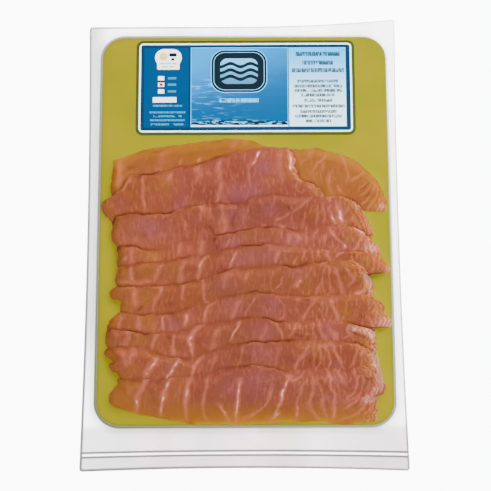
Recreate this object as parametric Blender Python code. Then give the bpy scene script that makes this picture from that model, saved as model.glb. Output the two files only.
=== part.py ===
"""A pack of sliced smoked salmon: overlapping slices on a gold card, sealed in a clear flat pouch.

Run with: blender --background --python part.py

Metres, +Z up. The pack lies on its back with the sealed end towards -Y. The origin is on the
underside, below the middle of the pouch. The pouch is one solid out to its film, because the film
lies tight on the card and the slices; the label is stuck on the front of the film.
"""

import bpy
import numpy as np

MM = 0.001

# The pouch: a flat bag of clear film, a little waisted, with its top edge cut slightly askew.
POUCH_WIDTH = 232 * MM
POUCH_LENGTH = 340 * MM
WAIST = 2.0 * MM  # how far each long side is drawn in half way along
TAPER_LEFT = 0.3 * MM  # how much further in the left side is at the top than at the sealed end
TAPER_RIGHT = 1.8 * MM
TOP_SKEW = 5.5 * MM  # the top edge's left half is this much lower than its right corner
END_HOLLOW = 2.3 * MM  # the sealed end curves in by this much in the middle
MARGIN_THICKNESS = 0.6 * MM  # front and back film lying together around the card
TENT = 4 * MM  # the front film comes down from the card's edge over this width

# The weld across the sealed end: two pressed lines, measured from the card's edge to the pouch's end.
WELD_LINES = (0.581, 0.683)
WELD_SHOULDER = 0.04  # the pressed relief reaches this far beyond each line
WELD_GROOVE = 0.25 * MM
WELD_RIDGE = 0.3 * MM

# The card, as it shows through the film
CARD_WIDTH = 212.4 * MM
CARD_LENGTH = 294.4 * MM
CARD_CORNER = 17.5 * MM
CARD_CENTRE = (0.6 * MM, 8.7 * MM)
CARD_TOP = 1.2 * MM  # front of the film over the bare card

# The slices, shingled from the top of the card downwards, each lying over the one above it.
SLICE_THICKNESS = 1.7 * MM
SLICE_COVER = 34 * MM  # full thickness for this far below a slice's top edge
SLICE_THINNING = 24 * MM  # then thinning away over this width
SLICE_EDGE = 3.5 * MM  # the film's slope over a slice's edge
PILE_BOTTOM = -136 * MM
PILE_CORNER_LIFT = 17 * MM  # the last slice's lower edge climbs this far towards its left end
PILE_CORNER_REACH = 56 * MM
# Each slice's left and right ends, then the height of its top edge at its left end, middle and
# right end, in millimetres
SLICES = (
    (-95, 103, 57, 75, 30),
    (-101, 58, 34, 62, 32),
    (-95, 89, 12, 29, 19),
    (-92, 97, -10, 5, -4),
    (-92, 104, -24, -8, -17),
    (-92, 92, -39, -23, -24),
    (-92, 104, -58, -43, -52),
    (-98, 95, -71, -61, -70),
    (-98, 92, -84, -79, -82),
    (-97, 99, -107, -97, -98),
)

# The label: a paper sticker with rounded corners, on the front film over the bare end of the card.
LABEL_WIDTH = 163 * MM
LABEL_HEIGHT = 74.6 * MM
LABEL_CENTRE = (1.7 * MM, 115.65 * MM)
LABEL_CORNER = 5 * MM
LABEL_THICKNESS = 0.25 * MM
LABEL_GAP = 0.3 * MM
CORNER_STEPS = 5

# Spacing of the pouch's surface grid
COLUMN_STEP = 5.2 * MM
PILE_ROW_STEP = 4.0 * MM
MARGIN_ROWS = (0.0, 0.14, 0.5)  # across a plain margin, from the card's edge outwards
LABEL_ROWS = (0.22, 0.44, 0.66, 0.86, 0.94)  # from the pile's upper end to the card's top edge
EDGE_PASSES = 4  # the margins' edges depend on each other, so the points settle in a few passes


def smooth(t):
    """0 below 0, 1 above 1, and an S-shaped rise between."""
    t = np.clip(t, 0, 1)
    return t * t * (3 - 2 * t)


def remove_objects():
    for thing in list(bpy.data.objects):
        bpy.data.objects.remove(thing)


def material(name, colour, roughness):
    finish = bpy.data.materials.new(name)
    finish.use_nodes = True
    shader = finish.node_tree.nodes["Principled BSDF"]
    shader.inputs["Base Color"].default_value = (*colour, 1)
    shader.inputs["Roughness"].default_value = roughness
    shader.inputs["Metallic"].default_value = 0
    finish.diffuse_color = (*colour, 1)
    return finish


def add_object(name, points, faces, finish):
    mesh = bpy.data.meshes.new(name)
    mesh.from_pydata([tuple(map(float, point)) for point in points], [], faces)
    mesh.update()
    mesh.materials.append(finish)
    thing = bpy.data.objects.new(name, mesh)
    bpy.context.collection.objects.link(thing)
    return thing


def side_edge(y, taper):
    """Half width of the pouch at height y: widest at both ends, waisted, and tapering towards the top."""
    t = y / (POUCH_LENGTH / 2)
    return POUCH_WIDTH / 2 - WAIST * (1 - t * t) - taper * (1 + t) / 2


def top_edge(x):
    """The cut top edge: level over the left half, then rising as a parabola to the right corner."""
    rise = np.maximum(x, 0) / (POUCH_WIDTH / 2 - TAPER_RIGHT)
    return POUCH_LENGTH / 2 - TOP_SKEW * (1 - rise**2)


def bottom_edge(x):
    """The sealed end, a shallow arch between its two corners."""
    return -POUCH_LENGTH / 2 + END_HOLLOW * (1 - (x / (POUCH_WIDTH / 2)) ** 2)


def card_distance(x, y):
    """Distance outside the card's rounded rectangle, negative inside it."""
    qx = np.abs(x - CARD_CENTRE[0]) - CARD_WIDTH / 2 + CARD_CORNER
    qy = np.abs(y - CARD_CENTRE[1]) - CARD_LENGTH / 2 + CARD_CORNER
    outside = np.hypot(np.maximum(qx, 0), np.maximum(qy, 0))
    inside = np.minimum(np.maximum(qx, qy), 0)
    return outside + inside - CARD_CORNER


def slice_height(x, y, sizes):
    """One slice's thickness at (x, y). Its top edge is the parabola through its three heights."""
    left, right, at_left, at_middle, at_right = (size * MM for size in sizes)
    t = (2 * x - left - right) / (right - left)
    top = at_middle + (at_right - at_left) / 2 * t + ((at_left + at_right) / 2 - at_middle) * t * t
    below = top - y
    across = smooth((x - left) / SLICE_EDGE) * smooth((right - x) / SLICE_EDGE)
    along = smooth(below / SLICE_EDGE) * (1 - smooth((below - SLICE_COVER) / SLICE_THINNING))
    return SLICE_THICKNESS * across * along


def pile_height(x, y):
    """All the slices' thicknesses together, down to the last slice's lower edge."""
    total = sum(slice_height(x, y, sizes) for sizes in SLICES)
    last_slice_left = SLICES[-1][0] * MM
    climb = np.clip(1 - (x - last_slice_left) / PILE_CORNER_REACH, 0, 1)
    bottom = PILE_BOTTOM + PILE_CORNER_LIFT * climb**2
    return total * smooth((y - bottom) / SLICE_EDGE)


def weld_relief(share):
    """Height of the pressed weld: grooves on its two lines and a ridge of clear film between them."""
    first, second = WELD_LINES
    half_band = (second - first) / 2
    from_middle = np.abs(share - (first + second) / 2) / half_band
    ridge = WELD_RIDGE * (1 - smooth(from_middle))
    groove = WELD_GROOVE * (1 - smooth(np.abs(from_middle - 1) * 2))
    return ridge - groove


def grid_columns():
    """Column positions: both margins as shares of their width, and even steps across the card."""
    card_left = CARD_CENTRE[0] - CARD_WIDTH / 2
    count = round(CARD_WIDTH / COLUMN_STEP)
    card = card_left + CARD_WIDTH * np.arange(1, count) / count
    shares = np.array(MARGIN_ROWS + (1.0,))
    left = [(-share, card_left) for share in shares[::-1]]
    right = [(share, card_left + CARD_WIDTH) for share in shares]
    return left + [(0.0, x) for x in card] + right


def grid_rows():
    """Row positions: the sealed margin with its weld, the pile in fine steps, the label's bare
    card in coarse ones, and the top margin."""
    card_bottom = CARD_CENTRE[1] - CARD_LENGTH / 2
    card_top = CARD_CENTRE[1] + CARD_LENGTH / 2
    pile_top = LABEL_CENTRE[1] - LABEL_HEIGHT / 2
    first, second = WELD_LINES
    weld = (first - WELD_SHOULDER, first, (first + second) / 2, second, second + WELD_SHOULDER)
    bottom = [(-share, card_bottom) for share in sorted(MARGIN_ROWS + weld + (1.0,), reverse=True)]
    pile_rows = round((pile_top - card_bottom) / PILE_ROW_STEP)
    pile = card_bottom + (pile_top - card_bottom) * np.arange(1, pile_rows + 1) / pile_rows
    label = pile_top + (card_top - pile_top) * np.array(LABEL_ROWS)
    top = [(share, card_top) for share in MARGIN_ROWS + (1.0,)]
    return bottom + [(0.0, y) for y in np.concatenate([pile, label])] + top


def pouch_surface():
    """Grid of points on the front of the pouch, as arrays of x, y and z with a row for each grid row."""
    column_share, column_x = np.array(grid_columns()).T
    row_share, row_y = np.array(grid_rows()).T
    share_x, share_y = np.meshgrid(column_share, row_share)
    card_x, card_y = np.meshgrid(column_x, row_y)
    x, y = card_x, card_y
    for _ in range(EDGE_PASSES):
        edge_x = np.where(share_x < 0, -side_edge(y, TAPER_LEFT), side_edge(y, TAPER_RIGHT))
        edge_y = np.where(share_y < 0, bottom_edge(x), top_edge(x))
        x = card_x + (edge_x - card_x) * np.abs(share_x)
        y = card_y + (edge_y - card_y) * np.abs(share_y)
    over_card = smooth(1 - card_distance(x, y) / TENT)
    z = MARGIN_THICKNESS + (CARD_TOP - MARGIN_THICKNESS) * over_card
    z = z + pile_height(x, y) + weld_relief(np.maximum(-share_y, 0))
    return x, y, z


def make_pouch():
    """The pouch: its front surface, a flat underside, and the cut edge of the film all round."""
    x, y, z = pouch_surface()
    rows, columns = x.shape
    number = np.arange(rows * columns).reshape(rows, columns)
    front = np.stack([x, y, z], axis=-1).reshape(-1, 3)
    faces = np.stack([number[:-1, :-1], number[:-1, 1:], number[1:, 1:], number[1:, :-1]], axis=-1)
    around = np.concatenate([number[0], number[1:, -1], number[-1, -2::-1], number[-2:0:-1, 0]])
    back = front[around] * (1, 1, 0)
    below = len(front) + np.arange(len(around))
    wall = np.stack([np.roll(around, -1), around, below, np.roll(below, -1)], axis=-1)
    all_faces = faces.reshape(-1, 4).tolist() + wall.tolist() + [below[::-1].tolist()]
    film = material("pouch_film", (0.72, 0.36, 0.22), 0.25)
    return add_object("pouch", np.concatenate([front, back]), all_faces, film)


def label_outline():
    """The sticker's outline, anticlockwise: four corners, each a quarter circle."""
    angles = np.arange(4 * (CORNER_STEPS + 1)) // (CORNER_STEPS + 1) * np.pi / 2
    angles = angles + np.tile(np.linspace(0, np.pi / 2, CORNER_STEPS + 1), 4)
    corner = np.repeat([(1, 1), (-1, 1), (-1, -1), (1, -1)], CORNER_STEPS + 1, axis=0)
    x = LABEL_CENTRE[0] + corner[:, 0] * (LABEL_WIDTH / 2 - LABEL_CORNER) + LABEL_CORNER * np.cos(angles)
    y = LABEL_CENTRE[1] + corner[:, 1] * (LABEL_HEIGHT / 2 - LABEL_CORNER) + LABEL_CORNER * np.sin(angles)
    return np.stack([x, y], axis=-1)


def make_label():
    """The sticker, a thin sheet just clear of the film that it is stuck to."""
    outline = label_outline()
    count = len(outline)
    low = CARD_TOP + LABEL_GAP
    bottom = np.column_stack([outline, np.full(count, low)])
    top = np.column_stack([outline, np.full(count, low + LABEL_THICKNESS)])
    ring = np.arange(count)
    after = np.roll(ring, -1)
    wall = np.stack([ring, after, after + count, ring + count], axis=-1).tolist()
    faces = wall + [ring[::-1].tolist(), (ring + count).tolist()]
    paper = material("label_paper", (0.12, 0.45, 0.68), 0.4)
    return add_object("label", np.concatenate([bottom, top]), faces, paper)


remove_objects()
make_pouch()
make_label()
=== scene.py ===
"""Looks for a pack of sliced smoked salmon: gold card, slices, clear pouch and printed label."""

import math

import bpy
import numpy as np
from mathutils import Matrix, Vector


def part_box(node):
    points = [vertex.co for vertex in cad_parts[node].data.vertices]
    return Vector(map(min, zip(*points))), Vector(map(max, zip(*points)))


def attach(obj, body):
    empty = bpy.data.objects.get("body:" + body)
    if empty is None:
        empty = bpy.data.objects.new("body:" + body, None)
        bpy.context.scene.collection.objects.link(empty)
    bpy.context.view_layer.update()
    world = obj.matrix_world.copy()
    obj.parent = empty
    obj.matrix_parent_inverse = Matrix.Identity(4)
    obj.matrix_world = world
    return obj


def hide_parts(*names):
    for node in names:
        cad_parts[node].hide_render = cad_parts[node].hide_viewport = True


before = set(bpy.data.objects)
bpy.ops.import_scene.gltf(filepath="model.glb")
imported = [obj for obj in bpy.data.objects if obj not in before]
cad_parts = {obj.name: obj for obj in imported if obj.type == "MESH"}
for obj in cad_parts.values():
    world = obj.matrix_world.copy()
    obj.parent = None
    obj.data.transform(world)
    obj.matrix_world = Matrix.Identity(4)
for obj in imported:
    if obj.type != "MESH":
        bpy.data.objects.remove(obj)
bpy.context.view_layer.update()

MM = 0.001  # sizes are in millimetres, and the scene is in metres


# ---------------------------------------------------------------------------------------------
# The gold card: a stiff board, metallised on its front and grey on its back, die-cut with round
# corners. It lies inside the pouch on the back film and everything else lies on it.

pouch_low, pouch_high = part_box("pouch")
CARD_WIDTH = 212.4
CARD_LENGTH = 294.4
CARD_CORNER = 17.5
CARD_BOTTOM = 0.2
CARD_TOP = 1.0
CARD_EDGE_ROUNDING = 0.4
CARD_FRONT_DROP = 0.12
CARD_BACK_DROP = 0.05
CARD_SHADOW_WIDTH = 3
CARD_RIGHT_OF_MIDDLE = 0.6
CARD_ABOVE_MIDDLE = 8.7
CARD_X = (pouch_low.x + pouch_high.x) / 2 / MM + CARD_RIGHT_OF_MIDDLE
CARD_Y = (pouch_low.y + pouch_high.y) / 2 / MM + CARD_ABOVE_MIDDLE
CARD_GOLD = (0.365, 0.305, 0.001)
CARD_GOLD_DEEP = (0.315, 0.285, 0.0)
CARD_GREY = (0.42, 0.41, 0.39)
CARD_EDGE_SHADOW = (0.15, 0.17, 0.020)


def smooth(t):
    """0 below 0, 1 above 1, and an S-shaped rise between."""
    t = np.clip(t, 0, 1)
    return t * t * (3 - 2 * t)


def add_piece(name, points, faces):
    """A new object from faces and an array of points, in millimetres from the card's middle."""
    points = np.asarray(points, float).reshape(-1, 3) + (CARD_X, CARD_Y, 0)
    faces = np.asarray(faces)
    mesh = bpy.data.meshes.new(name)
    mesh.vertices.add(len(points))
    mesh.vertices.foreach_set("co", (points * MM).astype(np.float32).ravel())
    mesh.loops.add(faces.size)
    mesh.loops.foreach_set("vertex_index", faces.astype(np.int32).ravel())
    mesh.polygons.add(len(faces))
    mesh.polygons.foreach_set("loop_start", np.arange(0, faces.size, faces.shape[1], dtype=np.int32))
    mesh.update(calc_edges=True)
    mesh.validate()
    mesh.polygons.foreach_set("use_smooth", np.ones(len(mesh.polygons), bool))
    piece = bpy.data.objects.new(name, mesh)
    bpy.context.scene.collection.objects.link(piece)
    return piece


def set_values(piece, **values):
    """Stores each array as a named number at every point of the piece."""
    for name, value in values.items():
        layer = piece.data.attributes.new(name, "FLOAT", "POINT")
        layer.data.foreach_set("value", np.asarray(value, np.float32).ravel())


def rounded_sheet(width, length, corner, rings, corner_steps):
    """Points of a rounded rectangle as nested outlines about its middle, the outermost first. Each
    outline is four straight sides and four quarter circles; an inset outline has a smaller corner."""
    side_steps = 24
    quarter_turn = np.linspace(0, np.pi / 2, corner_steps)
    share = np.linspace(0, 1, side_steps + 1, endpoint=False)[1:, None]
    outlines = []
    for inset in rings:
        radius = max(corner - inset, 0.02)
        centre = np.array([width / 2 - inset - radius, length / 2 - inset - radius])
        arcs = []
        for quarter, sign in enumerate(((1, 1), (-1, 1), (-1, -1), (1, -1))):
            angle = quarter_turn + quarter * np.pi / 2
            arcs.append(sign * centre + radius * np.stack([np.cos(angle), np.sin(angle)], axis=-1))
        parts = []
        for arc, after in zip(arcs, arcs[1:] + arcs[:1]):
            parts += [arc, arc[-1] + (after[0] - arc[-1]) * share]
        outlines.append(np.concatenate(parts))
    return np.array(outlines)


def ring_faces(rings, count):
    """Quads between nested outlines of count points each, for a face that looks along +Z."""
    number = np.arange(rings * count).reshape(rings, count)
    after = np.roll(number, -1, axis=1)
    return np.stack([number[:-1], after[:-1], after[1:], number[1:]], axis=-1).reshape(-1, 4)


def slab_from_outlines(name, outlines, front_z, back_z):
    """A closed slab between a front and a back made of the same nested outlines, shrunk to a small
    ring in the middle that is closed by a fan of quads."""
    rings, count = outlines.shape[:2]
    front = np.concatenate([outlines, front_z[..., None]], axis=-1).reshape(-1, 3)
    back = np.concatenate([outlines, back_z[..., None]], axis=-1).reshape(-1, 3)
    faces = ring_faces(rings, count)
    rim = np.arange(count)
    after = np.roll(rim, -1)
    total = rings * count
    wall = np.stack([after, rim, rim + total, after + total], axis=-1)
    inner = (rings - 1) * count + np.arange(count)
    half = count // 2
    near, far = inner[:half], inner[: half - 1 : -1]
    across = np.stack([near[:-1], near[1:], far[1:], far[:-1]], axis=-1)
    faces = np.concatenate([faces, across, faces[:, ::-1] + total, across[:, ::-1] + total, wall])
    return add_piece(name, np.concatenate([front, back]), faces)


class Wire:
    """A number socket of a material. Arithmetic on it adds the Math node that does it."""

    def __init__(self, recipe, socket):
        self.recipe = recipe
        self.socket = socket

    def math(self, operation, *others):
        sockets = dict(enumerate((self, *others)))
        return self.recipe.node("ShaderNodeMath", {"operation": operation}, sockets)

    def __add__(self, other):
        return self.math("ADD", other)

    __radd__ = __add__

    def __sub__(self, other):
        return self.math("SUBTRACT", other)

    def __rsub__(self, other):
        return self.recipe.node("ShaderNodeMath", {"operation": "SUBTRACT"}, {0: other, 1: self})

    def __mul__(self, other):
        return self.math("MULTIPLY", other)

    __rmul__ = __mul__

    def __truediv__(self, other):
        return self.math("DIVIDE", other)

    def __abs__(self):
        return self.math("ABSOLUTE")

    def ramp(self, low, high):
        """0 at low, 1 at high, with an S-shaped rise between."""
        settings = {"interpolation_type": "SMOOTHSTEP"}
        sockets = {"Value": self, "From Min": low, "From Max": high}
        return self.recipe.node("ShaderNodeMapRange", settings, sockets)


class Recipe:
    """A material under construction, with one method for adding any node."""

    def __init__(self, name):
        self.material = bpy.data.materials.new(name)
        self.material.use_nodes = True
        self.tree = self.material.node_tree
        self.tree.nodes.clear()

    def node(self, kind, settings=None, sockets=None, output=0):
        """Adds a node, makes its settings, then gives its sockets their values or links."""
        node = self.tree.nodes.new(kind)
        for name, value in (settings or {}).items():
            setattr(node, name, value)
        for name, value in (sockets or {}).items():
            if isinstance(value, Wire):
                self.tree.links.new(value.socket, node.inputs[name])
            elif isinstance(value, tuple) and node.inputs[name].type == "RGBA":
                node.inputs[name].default_value = (*value, 1)
            else:
                node.inputs[name].default_value = value
        return Wire(self, node.outputs[output]) if node.outputs else None

    def value(self, name):
        """A number stored at the piece's points."""
        return self.node("ShaderNodeAttribute", {"attribute_name": name}, output="Fac")

    def mix(self, share, first, second):
        """A colour between two others, the second where the share is 1."""
        settings = {"data_type": "RGBA", "clamp_factor": True}
        return self.node("ShaderNodeMix", settings, {0: share, 6: first, 7: second}, output=2)

    def place(self):
        """Position on the object, in metres."""
        return self.node("ShaderNodeTexCoord", output="Object")

    def speckle(self, where, scale, detail=2.0):
        """Cloudy noise from 0 to 1, with scale in cycles per metre."""
        return self.node("ShaderNodeTexNoise", None, {"Vector": where, "Scale": scale, "Detail": detail})

    def stretch(self, where, x, y):
        """The same place with x and y scaled: noise read there is drawn out where the scale is low."""
        return self.node("ShaderNodeMapping", None, {"Vector": where, "Scale": (x, y, 1)})

    def bump(self, height, distance):
        """A surface direction tilted by a height from 0 to 1, which stands for the distance in metres."""
        return self.node("ShaderNodeBump", None, {"Height": height, "Distance": distance})

    def surface(self, shader):
        """Ends the material with this shader."""
        self.node("ShaderNodeOutputMaterial", None, {"Surface": shader})
        return self.material

    def principled(self, **sockets):
        """The usual shader, with its sockets named in lower case."""
        named = {name.replace("_", " ").title().replace("Ior", "IOR"): v for name, v in sockets.items()}
        return self.node("ShaderNodeBsdfPrincipled", None, named)


def gold_board():
    """Satin metallised board: yellow gold with a faint cloudiness, with painted shadow at its die-cut
    edge.
    """
    board = Recipe("gold_board")
    where = board.place()
    cloud = board.speckle(where, 22, 3).ramp(0.35, 0.65)
    grain = board.speckle(board.stretch(where, 1, 0.15), 2600, 1)
    gold = board.mix(cloud, CARD_GOLD_DEEP, CARD_GOLD)
    front = board.value("front")
    colour = board.mix(front, CARD_GREY, gold)
    # Painted shadow darkens the front along the die-cut edge, most at the left and the foot.
    colour = board.mix(board.value("edge") * front, colour, CARD_EDGE_SHADOW)
    shine = board.principled(
        base_color=colour,
        roughness=0.42 + 0.12 * grain,
        metallic=0.25 * front,
        specular_ior_level=0.03,
        normal=board.bump(grain, 0.00002),
    )
    return board.surface(shine)


card_rings = np.array([0, 0.15, 0.4, 0.8, 1.4, 2.2, 3, 4, 10, 25, 50, 80, 100, 104.5])
card_outlines = rounded_sheet(CARD_WIDTH, CARD_LENGTH, CARD_CORNER, card_rings, 14)
card_inset = np.broadcast_to(card_rings[:, None], card_outlines.shape[:2])
card_rounding = 1 - smooth(card_inset / CARD_EDGE_ROUNDING)
card_front = CARD_TOP - CARD_FRONT_DROP * card_rounding
card_back = CARD_BOTTOM + CARD_BACK_DROP * card_rounding
card = slab_from_outlines("gold_card", card_outlines, card_front, card_back)
# The painted shadow at the card's edge is stronger towards the left and the foot.
card_shadow_side = 0.6 - 0.4 * (card_outlines[..., 0] / CARD_WIDTH + card_outlines[..., 1] / CARD_LENGTH)
set_values(
    card,
    front=np.concatenate([np.ones_like(card_front), np.zeros_like(card_back)]),
    edge=np.tile((1 - smooth(card_inset / CARD_SHADOW_WIDTH)) * card_shadow_side, (2, 1)),
)
card.data.materials.append(gold_board())
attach(card, "root")
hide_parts("pouch")


# ---------------------------------------------------------------------------------------------
# The salmon: ten thin slices cut along the side of the fish, laid from the top of the card
# downwards, each lapping over the one above it. Fat runs across each slice in pale lines, which
# draw together in a fan near the slice's right end and curve round into its ragged edge.

SLICE_THICKNESS = 1.7
SLICE_SPREAD = 1.006  # the film presses the ends of the slices outward
SLICE_LIP = (0.05, 0.55)  # thickness at the top edge, where it lies close and where it stands off
SLICE_TOP_RISE = (14.0, 2.2)  # distance over which it gets thick, at the same two places
SLICE_STAND_OFF = (0, 0.6)  # strengths of the shadow that mark the two places
SLICE_LEFT_RISE = 4.0
SLICE_RIGHT_RISE = 7.0
SLICE_FOOT_RISE = 22.0
SLICE_GAP = 0.03
FAN_START = 30
FRINGE_START = 62
FRINGE_WIDTH = 15
SLICE_COLUMNS = 330
SLICE_ROWS = 84
RELIEF_STEP = 0.75
RELIEF_LEFT = -112
RELIEF_BOTTOM = -156
RELIEF_COLUMNS = 300
RELIEF_ROWS = 424
FLESH = (0.216, 0.046, 0.025)
FLESH_DEEP = (0.178, 0.031, 0.015)
FLESH_PINK = (0.240, 0.056, 0.042)
FLESH_SHEEN = (0.250, 0.058, 0.082)
FLESH_ORANGE = (0.250, 0.078, 0.013)
FLESH_MIDDLE = (0.165, 0.034, 0.030)
FLESH_THIN = (0.275, 0.094, 0.001)
FLESH_GOLD = (0.40, 0.22, 0.002)
FLESH_BORDER_AND_SHADE = (0.130, 0.020, 0.007)
FLESH_SHADOW = (0.090, 0.014, 0.000)
FRINGE_DARK = (0.170, 0.042, 0.001)
FAT = (0.47, 0.130, 0.080)
FAT_ORANGE = (0.46, 0.150, 0.032)
FAT_PINK = (0.60, 0.24, 0.17)
FAT_GLINT = (0.84, 0.44, 0.36)
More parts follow.
